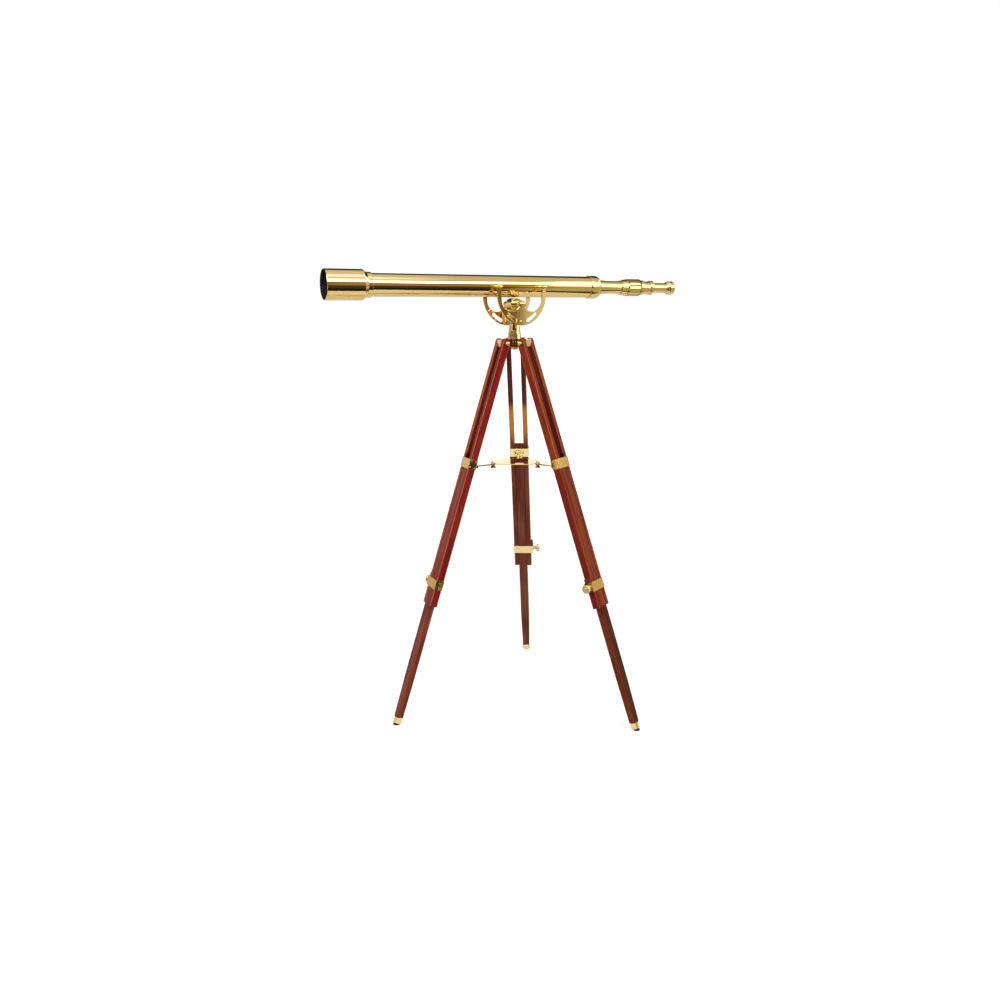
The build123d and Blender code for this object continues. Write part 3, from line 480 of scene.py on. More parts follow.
brassLooks = {
    "satin": {"bright": colour(0.84, 0.63, 0.26), "tarnish": colour(0.60, 0.38, 0.13), "amount": 0.30,
              "smooth": 0.26, "smudged": 0.40, "depth": 0.000004, "pitch": 0.0005},
    "mirror": {"bright": colour(0.86, 0.61, 0.225), "tarnish": colour(0.68, 0.40, 0.11), "amount": 0.22,
               "smooth": 0.035, "smudged": 0.12, "depth": 0.0000015, "pitch": 0.0006},
    "sheet": {"bright": colour(0.78, 0.475, 0.125), "tarnish": colour(0.60, 0.34, 0.08), "amount": 0.30,
              "smooth": 0.14, "smudged": 0.30, "depth": 0.000004, "pitch": 0.0011},
    "paleSheet": {"bright": colour(1.0, 0.80, 0.37), "tarnish": colour(0.86, 0.62, 0.27), "amount": 0.30,
                  "smooth": 0.14, "smudged": 0.30, "depth": 0.000004, "pitch": 0.0011},
    "turned": {"bright": colour(0.85, 0.60, 0.21), "tarnish": colour(0.58, 0.33, 0.10), "amount": 0.28,
               "smooth": 0.04, "smudged": 0.14, "depth": 0.000003, "pitch": 0.0005},
    "brushed": {"bright": colour(0.85, 0.64, 0.27), "tarnish": colour(0.62, 0.40, 0.14), "amount": 0.20,
                "smooth": 0.42, "smudged": 0.50, "depth": 0.000003, "pitch": 0.0005},
    "handled": {"bright": colour(0.86, 0.62, 0.235), "tarnish": colour(0.64, 0.38, 0.11), "amount": 0.24,
                "smooth": 0.07, "smudged": 0.15, "depth": 0.000002, "pitch": 0.0006},
}
dewCapLining = {"radius": 0.0384, "black": colour(0.006, 0.006, 0.007), "roughness": 0.75}
# the painted shade in the power ring's flutes: the radius where it begins, the ends it leaves unshaded,
# and its share on the lower and the upper side
fluteShade = {"radius": 0.0236, "feather": 0.0001, "cleanFront": 0.0015, "cleanBack": 0.0135,
              "upperSide": (-0.004, 0.004), "shares": (0.40, 0.99), "tone": colour(0.075, 0.036, 0.007)}


def fluteShadeMask(tree, vector):
    # painted shade on the lands between the flutes and down their walls, darker on the upper side
    x, y, z = split(tree, vector)
    low, high = localBox("power_ring", scope)
    start = fluteShade["radius"]
    wall = smoothStep(tree, distance(tree, y, z), start, start + fluteShade["feather"])
    along = times(tree, sums(tree, "GREATER_THAN", x, low.x + fluteShade["cleanFront"]),
                  sums(tree, "LESS_THAN", x, high.x - fluteShade["cleanBack"]))
    settled = spread(tree, smoothStep(tree, z, *fluteShade["upperSide"]), *fluteShade["shares"])
    return times(tree, wall, along, settled)


def makeBrass(name, lookName, place, lined=False, grimy=False):
    look = brassLooks[lookName]
    material, tree, shader = newMaterial(name)
    vector = localCoordinates(tree, place)
    tone = useGroup(tree, metalTone, Vector=vector, Bright=look["bright"], Tarnish=look["tarnish"],
                    Tarnish_Amount=look["amount"], Smooth=look["smooth"], Smudged=look["smudged"])
    lines = useGroup(tree, latheLines, Vector=vector, Pitch=look["pitch"])
    height = sums(tree, "MULTIPLY_ADD", tone["Height"], 0.6, lines["Height"])
    tint, rough, metal = tone["Color"], tone["Roughness"], 1.0
    if lined:
        # blacked inside, as far back as the objective cell
        inside = useGroup(tree, boreMask, Vector=vector, Radius=dewCapLining["radius"],
                          Front=localBox("objective_cell", place)[0].x)["Mask"]
        tint = blended(tree, inside, tint, dewCapLining["black"])
        rough = sums(tree, "MAXIMUM", rough, times(tree, inside, dewCapLining["roughness"]))
        metal = inverse(tree, inside)
    # painted shade in the power ring's flutes, over its brass
    if grimy:
        tint = blended(tree, fluteShadeMask(tree, vector), tint, fluteShade["tone"])
    fill(tree, shader.inputs, Base_Color=tint, Roughness=rough, Metallic=metal,
         Normal=bump(tree, height, look["depth"]))
    return material


dullLooks = {
    "blackRubber": {"base": colour(0.012, 0.012, 0.012), "dust": colour(0.05, 0.048, 0.045),
                    "roughness": 0.62, "grain": 900.0, "depth": 0.00004},
    "darkPad": {"base": colour(0.075, 0.016, 0.011), "dust": colour(0.12, 0.05, 0.03),
                "roughness": 0.42, "grain": 700.0, "depth": 0.00003},
    "redPad": {"base": colour(0.17, 0.022, 0.012), "dust": colour(0.22, 0.06, 0.03),
               "roughness": 0.42, "grain": 700.0, "depth": 0.00003},
    "blackPaint": {"base": colour(0.008, 0.008, 0.009), "dust": colour(0.03, 0.03, 0.03),
                   "roughness": 0.7, "grain": 900.0, "depth": 0.00003},
}


def makeDull(name):
    # rubber, lacquered pads and blacking: a dark ground with a fine mottled grain and a little dust
    look = dullLooks[name]
    material, tree, shader = newMaterial(name)
    vector = localCoordinates(tree, flat)
    mottle = noise(tree, vector, look["grain"], 4.0, 0.6)
    dust = spread(tree, smoothStep(tree, noise(tree, vector, 30.0, 3.0), 0.4, 0.8), 0.0, 0.4)
    fill(tree, shader.inputs, Base_Color=blended(tree, dust, look["base"], look["dust"]),
         Roughness=spread(tree, mottle, look["roughness"] - 0.08, look["roughness"] + 0.08),
         Normal=bump(tree, mottle, look["depth"]), Specular_IOR_Level=0.25)
    return material


def makeGlass():
    material, tree, shader = newMaterial("coatedGlass")
    dust = smoothStep(tree, noise(tree, localCoordinates(tree, flat), 60.0, 4.0), 0.45, 0.8)
    fill(tree, shader.inputs, Roughness=spread(tree, dust, 0.0, 0.03), Base_Color=colour(0.93, 0.97, 0.96),
         Transmission_Weight=1.0, IOR=1.52)
    return material


dull = {name: makeDull(name) for name in dullLooks}
coatedGlass = makeGlass()


def linked(name, content):
    piece = bpy.data.objects.new(name, content)
    bpy.context.scene.collection.objects.link(piece)
    return piece


def baked(source):
    # a plain mesh object of what the modifiers make; the source is deleted
    bpy.context.view_layer.update()
    graph = bpy.context.evaluated_depsgraph_get()
    mesh = bpy.data.meshes.new_from_object(source.evaluated_get(graph))
    name = source.name
    bpy.data.objects.remove(source)
    return linked(name, mesh)


# widths in metres, angles in degrees
rounding = {"segments": 2, "edgeAngle": 28, "flatAngle": 0.4, "mergeGap": 0.000004}
roundings = {
    "spreader_tray": 0.0006, "cradle_plate_near": 0.0012, "cradle_plate_far": 0.0012, "hub_crown": 0.0007,
    "power_ring": 0.00035, "pintle_nut": 0.0006, "dew_cap": 0.0009, "objective_cell": 0.0009,
    "rear_collar": 0.0016,
}
legRoundings = {
    "upper_band": 0.00035, "clamp_band": 0.00035, "bracket": 0.0004, "spreader_arm": 0.0009,
    "pressure_pad": 0.0007, "slat_left": 0.0009, "slat_right": 0.0009, "lower": 0.0009,
}
for number in legNumbers:
    roundings.update({f"leg_{number}_{part}": width for part, width in legRoundings.items()})


def bevelled(nodeName, width):
    # a copy of a CAD node with its hard edges rounded, which stands for the node
    mesh = nodes[nodeName].data.copy()
    mesh.name = nodeName + "Rounded"
    for name in ("custom_normal", "sharp_edge", "sharp_face"):
        if name in mesh.attributes:
            mesh.attributes.remove(mesh.attributes[name])
    work = bmesh.new()
    work.from_mesh(mesh)
    bmesh.ops.remove_doubles(work, verts=work.verts, dist=rounding["mergeGap"])
    flatAngle = math.radians(rounding["flatAngle"])
    bmesh.ops.dissolve_limit(work, angle_limit=flatAngle, verts=work.verts, edges=work.edges)
    bmesh.ops.recalc_face_normals(work, faces=work.faces)
    for face in work.faces:
        face.smooth = True
    work.to_mesh(mesh)
    work.free()
    source = linked(nodeName + "Rounded", mesh)
    bevel = source.modifiers.new("rounding", "BEVEL")
    bevel.width = width
    bevel.segments = rounding["segments"]
    bevel.limit_method = "ANGLE"
    bevel.angle_limit = math.radians(rounding["edgeAngle"])
    bevel.use_clamp_overlap = True
    bevel.harden_normals = True
    bevel.miter_outer = "MITER_ARC"
    piece = baked(source)
    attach(piece, bodyOf[nodeName])
    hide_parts(nodeName)
    return piece


roundedPieces = {nodeName: bevelled(nodeName, width) for nodeName, width in roundings.items()}
print("rounded copies made:", len(roundedPieces))


def dress(nodeName, material):
    piece = roundedPieces.get(nodeName, nodes[nodeName])
    piece.data.materials.clear()
    piece.data.materials.append(material)


# the look and the turning axis of each brass piece on the telescope, its mount and the tray
brassPieces = (
    ("mirror", scope, ("main_tube", "objective_cell", "rear_collar", "draw_tube", "eyepiece_barrel",
                       "eyecup")),
    ("mirror", flat, ("cradle_plate_near", "cradle_plate_far", "spreader_tray")),
    ("mirror", standing, ("hub_crown", "fork_post", "pintle_nut")),
    ("turned", screwPlace("altitude_tilt"), ("altitude_axle", "yoke_studs")),
    ("turned", standing, ("tray_bolts", "tray_wing_nuts")),
    ("satin", screwPlace("azimuth_clamp_turn"), ("azimuth_clamp_screw",)),
)
for look, place, nodeNames in brassPieces:
    for nodeName in nodeNames:
        dress(nodeName, makeBrass(materialName(nodeName, "Brass"), look, place))
dress("dew_cap", makeBrass("dewCapBrass", "mirror", scope, lined=True))
# the power ring's flutes get painted shade
dress("power_ring", makeBrass("powerRingBrass", "handled", scope, grimy=True))
dress("tube_baffles", dull["blackPaint"])
for nodeName in ("objective_crown_lens", "objective_flint_lens", "erector_lenses", "eyepiece_lenses"):
    dress(nodeName, coatedGlass)

for number in legNumbers:
    leg, place = f"leg_{number}_", legPlaces[number]
    clampPlace = screwPlace(leg + "clamp_turn")
    # each bar is cut from its own stretch of the grain
    barOffsets = {"slat_left": (0.3 * number, 0.1, 0.7), "slat_right": (0.9, 0.2 * number, 0.3),
                  "lower": (0.5, 0.6, 0.4 * number)}
    for part, offset in barOffsets.items():
        dress(leg + part, makeMahogany(leg + part, number, offset))
    # the back leg's bands were polished paler, and so were the arms and ferrules
    pale = makeBrass(f"paleBrass{number}", "paleSheet", place)
    sheet = pale if number == 3 else makeBrass(f"sheetBrass{number}", "sheet", place)
    for part in ("upper_band", "clamp_band", "bracket"):
        dress(leg + part, sheet)
    for part in ("ferrule", "spreader_arm"):
        dress(leg + part, pale)
    # the second leg's knob has been worn dull
    knobLook = "brushed" if number == 2 else "satin"
    dress(leg + "clamp_screw", makeBrass(f"knobBrass{number}", knobLook, clampPlace))
    dress(leg + "hinge_bolt", makeBrass(f"turnedBrass{number}", "turned", clampPlace))
    dress(leg + "pressure_pad", dull["redPad" if number == 2 else "darkPad"])
    dress(leg + "rubber_tip", dull["blackRubber"])
print("materials made")


# Small trim made with geometry nodes, baked to plain meshes

def newPattern(name, **inputs):
    geometry = {"Geometry": "Geometry"}
    return newTree("Geometry", name, {**geometry, **inputs, "Material": "Material"}, geometry)


def closePattern(tree, given, result, **values):
    # instances on points, made real and given their material
    placed = newNode(tree, "GeometryNodeInstanceOnPoints", **values)
    realized = newNode(tree, "GeometryNodeRealizeInstances", Geometry=placed.outputs[0])
    painted = newNode(tree, "GeometryNodeSetMaterial", Geometry=realized.outputs[0],
                      Material=given["Material"])
    fill(tree, result, Geometry=painted.outputs[0])


def makeScrewPattern(head):
    # one slotted head on every point, each slot turned by chance about the head's own axis
    tree, given, result = newPattern("screwPattern", Size=1.0, Seed=3)
    source = tree.nodes.new("GeometryNodeObjectInfo")
    source.inputs["Object"].default_value = head
    turn = newNode(tree, "FunctionNodeRandomValue", Seed=given["Seed"])
    turn.data_type = "FLOAT_VECTOR"
    turn.inputs[0].default_value = (0, 0, 0)
    turn.inputs[1].default_value = (0, 0, math.pi)
    closePattern(tree, given, result, Points=given["Geometry"], Instance=source.outputs["Geometry"],
                 Rotation=turn.outputs["Value"], Scale=given["Size"])
    return tree


def makeKnurlPattern():
    # ridges round a rim, along the rim's own axis Z
    tree, given, result = newPattern("knurlPattern", Count=48, Radius=0.0115, Length=0.005, Ridge=0.0006)
    ring = newNode(tree, "GeometryNodeMeshCircle", Vertices=given["Count"], Radius=given["Radius"])
    rod = newNode(tree, "GeometryNodeMeshCylinder", Vertices=4, Radius=given["Ridge"], Depth=given["Length"])
    position = tree.nodes.new("GeometryNodeInputPosition").outputs[0]
    outward = newNode(tree, "FunctionNodeAlignRotationToVector", Vector=position)
    outward.axis = "X"
    outward.pivot_axis = "Z"
    closePattern(tree, given, result, Points=ring.outputs["Mesh"], Instance=rod.outputs["Mesh"],
                 Rotation=outward.outputs[0])
    return tree


def makeThreadPattern():
    # rings of thread stacked along Z
    tree, given, result = newPattern("threadPattern", Count=4, Radius=0.003, Pitch=0.0008)
    step = newNode(tree, "ShaderNodeCombineXYZ", Z=given["Pitch"])
    stack = newNode(tree, "GeometryNodeMeshLine", Count=given["Count"], Offset=step.outputs[0])
    circle = "GeometryNodeCurvePrimitiveCircle"
    path = newNode(tree, circle, Resolution=40, Radius=given["Radius"])
    profile = newNode(tree, circle, Resolution=4, Radius=times(tree, given["Pitch"], 0.42))
    ring = newNode(tree, "GeometryNodeCurveToMesh", Curve=path.outputs["Curve"],
                   Profile_Curve=profile.outputs["Curve"])
    closePattern(tree, given, result, Points=stack.outputs["Mesh"], Instance=ring.outputs["Mesh"])
    return tree


weldGap = 0.0000005  # metres


def patternPiece(name, tree, places, material, body, slotName, points=((0, 0, 0),), **values):
    # the pattern is made on the given points, once in each of the given frames, and rides on one body
    mesh = bpy.data.meshes.new(name)
    mesh.from_pydata(points, [], [])
    source = linked(name, mesh)
    modifier = source.modifiers.new("pattern", "NODES")
    modifier.node_group = tree
    values["Material"] = material
    for socket in tree.interface.items_tree:
        if socket.in_out == "INPUT" and socket.name in values:
            modifier[socket.identifier] = values[socket.name]
    piece = baked(source)
    work = bmesh.new()
    for place in places:
        placed = piece.data.copy()
        placed.transform(place)
        work.from_mesh(placed)
        bpy.data.meshes.remove(placed)
    bmesh.ops.remove_doubles(work, verts=work.verts, dist=weldGap)
    bmesh.ops.recalc_face_normals(work, faces=work.faces)
    work.to_mesh(piece.data)
    work.free()
    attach(piece, body)
    return piece


# a low round head of unit radius: its profile as (radius, height) pairs, and the slot across it
screwShape = {
    "profile": ((1.0, -0.05), (1.0, 0.12), (0.93, 0.26), (0.72, 0.36), (0.40, 0.42)), "sides": 28,
    "slotHalf": 0.11, "slotFloor": 0.10,
}


def makeScrewHead():
    count, slotHalf = screwShape["sides"], screwShape["slotHalf"]
    turns = [2 * math.pi * step / count for step in range(count)]
    work = bmesh.new()
    rows = [[work.verts.new((radius * math.cos(turn), radius * math.sin(turn), height)) for turn in turns]
            for radius, height in screwShape["profile"]]
    for low, high in zip(rows, rows[1:]):
        for step in range(count):
            following = (step + 1) % count
            work.faces.new((low[step], low[following], high[following], high[step]))
    work.faces.new(rows[-1])
    work.faces.new(list(reversed(rows[0])))
    # the slot: what lies near the X axis is cut loose and sunk
    for side in (-1, 1):
        geometry = work.verts[:] + work.edges[:] + work.faces[:]
        bmesh.ops.bisect_plane(work, geom=geometry, plane_co=(0, side * slotHalf, 0), plane_no=(0, 1, 0))
    sunk = [face for face in work.faces
            if abs(face.calc_center_median().y) < slotHalf and face.normal.z > 0.1]
    walls = bmesh.ops.extrude_face_region(work, geom=sunk)
    for item in walls["geom"]:
        if isinstance(item, bmesh.types.BMVert):
            item.co.z = min(item.co.z, screwShape["slotFloor"])
    bmesh.ops.delete(work, geom=sunk, context="FACES")
    bmesh.ops.recalc_face_normals(work, faces=work.faces)
    mesh = bpy.data.meshes.new("screwHead")
    work.to_mesh(mesh)
    work.free()
    return bpy.data.objects.new("screwHead", mesh)


screwHead = makeScrewHead()
screwPattern = makeScrewPattern(screwHead)
knurlPattern = makeKnurlPattern()
threadPattern = makeThreadPattern()

# insets are from the ends of a band and from its long edges; a clamp band's screws stand in one column
bandScrews = {"radius": 0.0021, "columns": (-1, 1), "endInset": 0.0055, "edgeInset": 0.0052, "faces": (-1, 1)}
clampScrews = {"radius": 0.0021, "columns": (0,), "endInset": 0.006, "edgeInset": 0.0, "faces": (1,)}
# how far the rim's middle lies behind the knob's face, and how deep the ridges sit in the rim
legKnurl = {"count": 54, "length": 0.0046, "ridge": 0.00042, "inset": 0.0051, "sunk": 0.00015}
azimuthKnurl = {"count": 56, "length": 0.0042, "ridge": 0.00042, "inset": 0.0035, "sunk": 0.00015}
pintleThread = {"count": 4, "radius": 0.006, "pitch": 0.0009, "lift": 0.0006}
boltThread = {"count": 3, "radius": 0.003, "pitch": 0.0006, "lift": 0.0004, "reachInset": 0.0054}


def placeScrews(pieceName, nodeName, number, look, seed, material):
    # slotted heads on the side faces of a band: each face's frame has +Z out of it and +Y up the leg
    up = Vector((0, 0, 1))
    low, high = localBox(nodeName, legPlaces[number])
    middle, half = (low + high) / 2, (high - low) / 2
    points = [(column * (half.x - look["edgeInset"]), row * (half.z - look["endInset"]), 0)
              for column in look["columns"] for row in (-1, 1)]
    faces = []
    for turn in look["faces"]:
        outward = Vector((0, turn, 0))
        origin = Vector((middle.x, middle.y + turn * half.y, middle.z))
        faces.append(legPlaces[number] @ placeOf(origin, up.cross(outward), up, outward))
    patternPiece(pieceName, screwPattern, faces, material, f"leg_{number}", "turned_brass", points,
                 Size=look["radius"], Seed=seed)


def knurlKnob(pieceName, nodeName, jointName, body, look):
    screw = screwPlace(jointName)
    low, high = localBox(nodeName, screw)
    rim = Matrix.Translation((high.x - look["inset"], 0, 0)) @ Matrix.Rotation(math.pi / 2, 4, "Y")
    patternPiece(pieceName, knurlPattern, [screw @ rim], nodes[nodeName].data.materials[0], body,
                 "turned_brass", Count=look["count"], Radius=max(high.y, high.z) - look["sunk"],
                 Length=look["length"], Ridge=look["ridge"])


def threadEnds(pieceName, nodeName, spots, body, slotName, look):
    # thread at the lower end of each bolt of a node
    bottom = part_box(nodeName)[0].z + look["lift"]
    places = [Matrix.Translation((spot.x, spot.y, bottom)) for spot in spots]
    patternPiece(pieceName, threadPattern, places, nodes[nodeName].data.materials[0], body, slotName,
                 Count=look["count"], Radius=look["radius"], Pitch=look["pitch"])


for number in legNumbers:
    leg = f"leg_{number}"
    bright = makeBrass(f"screwBrass{number}", "turned", legPlaces[number])
    placeScrews(leg + "BandScrews", leg + "_upper_band", number, bandScrews, number, bright)
    placeScrews(leg + "ClampScrews", leg + "_clamp_band", number, clampScrews, number + 7, bright)
    knurlKnob(leg + "ClampKnurl", leg + "_clamp_screw", leg + "_clamp_turn", leg + "_clamp", legKnurl)
knurlKnob("azimuthKnurl", "azimuth_clamp_screw", "azimuth_clamp_turn", "azimuth_clamp", azimuthKnurl)
threadEnds("pintleThread", "fork_post", [Vector((0, 0, 0))], "fork", "mirror_brass", pintleThread)
low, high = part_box("tray_bolts")
boltReach = max(abs(low.x), abs(high.x)) - boltThread["reachInset"]
hinges = [jointPlace(f"leg_{number}_fold") for number in legNumbers]
spots = [Vector((hinge.x, hinge.y, 0)).normalized() * boltReach for hinge in hinges]
threadEnds("boltThreads", "tray_bolts", spots, "tray", "turned_brass", boltThread)
bpy.data.objects.remove(screwHead)
print("trim made")


# Studio: a white sweep, soft light and dark screens that only the polished metal mirrors

# the sky in front and behind is given as the sine of the elevation and the level there, and its sides as
# parts of a unit direction; screens, cards and the bare floor are given as degrees round the stand, then
# metres up from the floor, or out from the stand
studio = {
    "ambient": 0.62,
    "frontSky": ((-0.02, 0.68), (0.20, 0.68), (0.28, 5.0), (0.57, 5.0), (0.62, 0.68), (1.0, 0.68)),
    "rearSky": ((-0.02, 0.68), (0.19, 0.68), (0.27, 0.04), (0.74, 0.04), (0.90, 0.68), (1.0, 0.68)),
    "rearSide": (0.0, 0.35),
    "objectiveSide": (0.42, 0.29),
    "objectiveTint": colour(1.18, 1.22, 1.35),
    "overhead": colour(1.3, 1.5, 2.6),
    "overheadHeight": (0.70, 0.86),
    "overheadSide": (-0.10, -0.30),
    "screenRadius": 4.5,
    "screenTop": 2.75,
    "screens": ((-165, -20), (15, 52), (76, 110), (130, 186)),
    "whiteSweep": 1.05,
    "darkFloor": (168, 208, 0.80),
    "card": (-66.0, -59.8, 0.98, 1.42),
    "cardFade": (-64.3, -62.9),
    "cardTones": (colour(0.11, 0.09, 0.05), colour(0.82, 0.80, 0.70)),
    "rearCard": (54, 75, 0.0, 2.4),
    "rearCardGlow": (colour(1, 0.97, 0.93), 1.15),
    "fluteCards": ((-53.4, -50.6, 1.22, 1.44), (-47, -37, 4.5, 5.5)),
    "fluteCardGlow": (colour(1, 1, 1), 3.2),
    "floorReach": 30.0,
    "floorTone": colour(0.86, 0.86, 0.86),
    "floorFade": (0.9, 4.0),
    "floorGlow": (0.38, 0.75),
    "mirroredFloor": 0.10,
}
keyLamp = {"place": (0.9, -2.9, 2.8), "target": (0, 0, 0.7), "size": 2.2, "energy": 42.0}
fillLamp = {"place": (-3.0, -0.7, 2.2), "target": (0, 0, 0.8), "size": 2.0, "energy": 32.0}


def heightRamp(tree, height, stops):
    # grey levels against the sine of the elevation
    ramp = tree.nodes.new("ShaderNodeValToRGB")
    ramp.color_ramp.interpolation = "EASE"
    tree.links.new(sums(tree, "MULTIPLY_ADD", height, 0.5, 0.5), ramp.inputs[0])
    elements = ramp.color_ramp.elements
    for index, (sine, level) in enumerate(stops):
        element = elements[index] if index < 2 else elements.new(0.5 + 0.5 * sine)
        element.position = 0.5 + 0.5 * sine
        element.color = colour(level, level, level)
    return ramp.outputs["Color"]


def background(tree, tone, strength=1.0):
    return newNode(tree, "ShaderNodeBackground", Color=tone, Strength=strength).outputs[0]


def mixedShader(tree, factor, first, second):
    node = tree.nodes.new("ShaderNodeMixShader")
    for source, target in zip((factor, first, second), node.inputs):
        tree.links.new(source, target)
    return node.outputs[0]


def plainView(tree, rays):
    # what the camera sees straight on or through glass
    return sums(tree, "MAXIMUM", rays["Is Camera Ray"], rays["Is Transmission Ray"])


def makeWorld():
    # white to the eye, even light on the object, and a studio's lamps and darks in the polished metal
    world = bpy.data.worlds.new("studioWorld")
    bpy.context.scene.world = world
    world.use_nodes = True
    tree = world.node_tree
    tree.nodes.clear()
    rays = tree.nodes.new("ShaderNodeLightPath").outputs
    x, y, z = split(tree, tree.nodes.new("ShaderNodeTexCoord").outputs["Generated"])
    front = heightRamp(tree, z, studio["frontSky"])
    rear = heightRamp(tree, z, studio["rearSky"])
    both = blended(tree, smoothStep(tree, y, *studio["rearSide"]), front, rear)
    # the sky is cooler over the objective end, and the overhead lamp stands there
    objectiveSide = smoothStep(tree, x, *studio["objectiveSide"])
    both = blended(tree, objectiveSide, both, studio["objectiveTint"], "MULTIPLY")
    overhead = times(tree, smoothStep(tree, z, *studio["overheadHeight"]), objectiveSide,
                     smoothStep(tree, y, *studio["overheadSide"]))
    mirrored = background(tree, blended(tree, overhead, both, studio["overhead"]))
    white = colour(1, 1, 1)
    onObject = mixedShader(tree, rays["Is Glossy Ray"], background(tree, white, studio["ambient"]), mirrored)
    surface = mixedShader(tree, plainView(tree, rays), onObject, background(tree, white))
    newNode(tree, "ShaderNodeOutputWorld", Surface=surface)


def meshObject(name, vertices, faces, material):
    mesh = bpy.data.meshes.new(name)
    mesh.from_pydata(vertices, [], faces)
    mesh.update()
    mesh.materials.append(material)
    return linked(name, mesh)


def makeFloor():
    material, tree, shader = newMaterial("paleFloor")
    rays = tree.nodes.new("ShaderNodeLightPath").outputs
    place = split(tree, objectPlace(tree))
    out = distance(tree, place["X"], place["Y"])
    faded = spread(tree, smoothStep(tree, out, *studio["floorFade"]), *studio["floorGlow"])
    glow = times(tree, plainView(tree, rays), faded)
    glow = sums(tree, "MULTIPLY_ADD", rays["Is Glossy Ray"], studio["mirroredFloor"], glow)
    fill(tree, shader.inputs, Base_Color=studio["floorTone"], Roughness=0.9, Specular_IOR_Level=0.0,
         Emission_Color=colour(1, 1, 1), Emission_Strength=glow)
    reach = studio["floorReach"]
    corners = [(-reach, -reach, 0), (reach, -reach, 0), (reach, reach, 0), (-reach, reach, 0)]
    meshObject("floor", corners, [(0, 1, 2, 3)], material)


# pairs of degrees round the stand between which a tone fades in, then pairs of metres up, and out
screenLook = {
    "black": colour(0.012, 0.010, 0.008), "brown": colour(0.060, 0.050, 0.050),
    "olive": colour(0.37, 0.265, 0.125), "pale": colour(0.50, 0.52, 0.40),
    "paleFloor": colour(0.95, 0.93, 0.88), "lamp": colour(3.0, 2.9, 2.6),
    "litStart": (-65.0, -60.0), "litEnd": (-15.0, -10.0), "oliveStart": (-88.0, -80.0),
    "paleStart": (-61.5, -56.5), "lampStart": (-61.0, -58.5), "paleFloorStart": (-98.0, -105.0),
    "lightHeight": (0.40, 0.75), "lampHeight": (1.45, 1.80), "paleFloorHeight": (0.45, 0.25),
    "darkOut": (1.6, 2.5), "litOut": (1.3, 1.75), "paleFloorOut": (2.5, 3.2),
}


def screenMaterial():
    # black by the sweep, brown further out, and olive high up and towards the eyepiece's side
    look = screenLook
    material = bpy.data.materials.new("darkScreen")
    material.use_nodes = True
    tree = material.node_tree
    tree.nodes.clear()
    x, y, z = split(tree, objectPlace(tree))
    out = distance(tree, x, y)
    azimuth = sums(tree, "ARCTAN2", y, x)

    def around(name):
        low, high = look[name]
        return smoothStep(tree, azimuth, math.radians(low), math.radians(high))

    beforeEnd = inverse(tree, around("litEnd"))
    lit = times(tree, around("litStart"), beforeEnd)
    light = blended(tree, around("paleStart"), look["olive"], look["pale"])
    light = blended(tree, around("oliveStart"), look["brown"], light)
    ground = blended(tree, lit, look["brown"], light)
    # the black reaches less far out where the screens are lit
    start, end = (spread(tree, lit, dark, near) for dark, near in zip(look["darkOut"], look["litOut"]))
    tone = blended(tree, smoothStep(tree, out, start, end), look["black"], ground)
    tone = blended(tree, smoothStep(tree, z, *look["lightHeight"]), tone, light)
    # pale studio floor far out on the camera's own side
    far = times(tree, around("paleFloorStart"), smoothStep(tree, z, *look["paleFloorHeight"]),
                smoothStep(tree, out, *look["paleFloorOut"]))
    tone = blended(tree, far, tone, look["paleFloor"])
    high = times(tree, smoothStep(tree, z, *look["lampHeight"]), around("lampStart"), beforeEnd)
    tone = blended(tree, high, tone, look["lamp"])
    glow = newNode(tree, "ShaderNodeEmission", Color=tone)
    newNode(tree, "ShaderNodeOutputMaterial", Surface=glow.outputs[0])
    return material


def makeScreen(name, start, end, rows, material):
    # a curved upright screen, seen in the polished metal alone; rows are (distance, height) pairs
    steps = max(8, int((end - start) / 5))
    angles = [math.radians(start + (end - start) * step / steps) for step in range(steps + 1)]
    vertices = [(math.cos(angle) * out, math.sin(angle) * out, height)
                for out, height in rows for angle in angles]
    count = len(angles)
    corners = [row * count + step for row in range(len(rows) - 1) for step in range(count - 1)]
    faces = [(corner, corner + 1, corner + count + 1, corner + count) for corner in corners]
    screen = meshObject(name, vertices, faces, material)
    screen.visible_camera = False
    screen.visible_diffuse = False
    screen.visible_transmission = False
    screen.visible_shadow = False


def makeCard(name, span, inset, material):
    start, end, bottom, top = span
    out = studio["screenRadius"] - inset
    makeScreen(name, start, end, [(out, bottom), (out, top)], material)


def glowingCard(name, tone, strength):
    # a black sheet that glows
    material, tree, shader = newMaterial(name)
    fill(tree, shader.inputs, Base_Color=colour(0, 0, 0), Emission_Color=tone, Emission_Strength=strength)
    return material, tree, shader


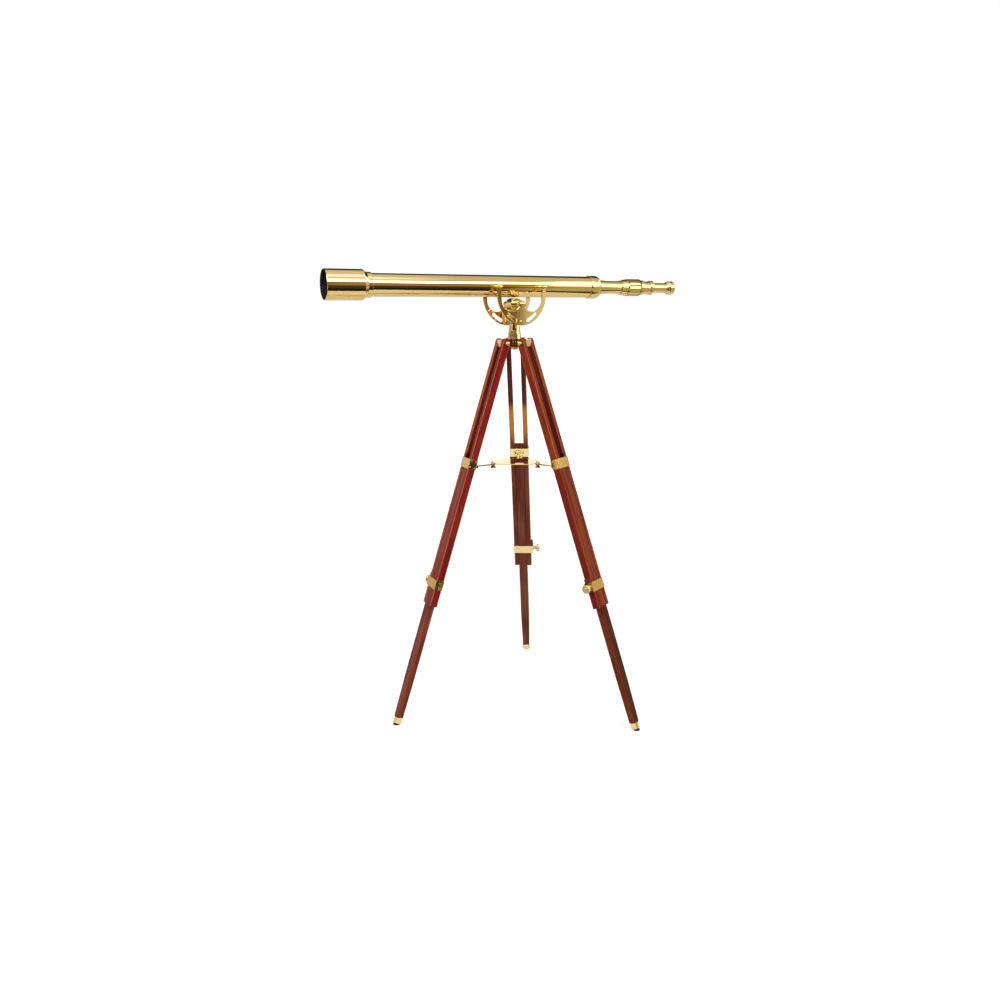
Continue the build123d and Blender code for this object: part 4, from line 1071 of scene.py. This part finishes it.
def makeScreens():
    # dark screens round the object, dark studio floor in front of the white sweep, and bright cards
    dark = screenMaterial()
    radius = studio["screenRadius"]
    for index, (start, end) in enumerate(studio["screens"]):
        rows = [(radius, 0.0), (radius, studio["screenTop"])]
        if index == 0:
            rows.insert(0, (studio["whiteSweep"], 0.004))
        makeScreen(f"screen{index + 1}", start, end, rows, dark)
    # one bare dark patch of floor on the objective end's side
    start, end, near = studio["darkFloor"]
    makeScreen("darkFloor", start, end, [(near, 0.006), (radius, 0.006)], dark)
    # a card that is dim on its left and pale on its right
    graded, tree, shader = glowingCard("gradedCard", colour(1, 1, 1), 1.0)
    place = split(tree, objectPlace(tree))
    azimuth = sums(tree, "ARCTAN2", place["Y"], place["X"])
    across = smoothStep(tree, azimuth, *(math.radians(degrees) for degrees in studio["cardFade"]))
    fill(tree, shader.inputs, Emission_Color=blended(tree, across, *studio["cardTones"]))
    makeCard("card", studio["card"], 0.1, graded)
    makeCard("rearCard", studio["rearCard"], 0.0, glowingCard("rearCard", *studio["rearCardGlow"])[0])
    # two bright strips that only the flat floors of the power ring's flutes mirror
    lamp = glowingCard("fluteCard", *studio["fluteCardGlow"])[0]
    for index, span in enumerate(studio["fluteCards"]):
        makeCard(f"fluteCard{index + 1}", span, 0.2, lamp)


def areaLamp(name, look):
    lamp = bpy.data.lights.new(name, "AREA")
    lamp.shape = "SQUARE"
    lamp.size = look["size"]
    lamp.energy = look["energy"]
    piece = linked(name, lamp)
    piece.location = look["place"]
    piece.rotation_euler = (Vector(look["target"]) - piece.location).to_track_quat("-Z", "Y").to_euler()
    piece.visible_glossy = False
    piece.visible_camera = False


# the lens in millimetres and the turns in degrees
view = {"place": (-1.0944, -2.2379, 1.1605), "heading": -24.93, "pitch": 12.18, "roll": -1.01414,
        "lens": 31.2}


def makeCamera():
    camera = linked("camera", bpy.data.cameras.new("camera"))
    turn = Matrix.Rotation(math.radians(view["heading"]), 4, "Z")
    turn @= Matrix.Rotation(math.radians(90 - view["pitch"]), 4, "X")
    turn @= Matrix.Rotation(math.radians(view["roll"]), 4, "Z")
    camera.matrix_world = Matrix.Translation(view["place"]) @ turn
    camera.data.lens = view["lens"]
    camera.data.sensor_width = 36
    bpy.context.scene.camera = camera


makeWorld()
makeFloor()
makeScreens()
areaLamp("keyLamp", keyLamp)
areaLamp("fillLamp", fillLamp)
makeCamera()
bpy.context.scene.view_settings.view_transform = "Standard"
print("studio made")
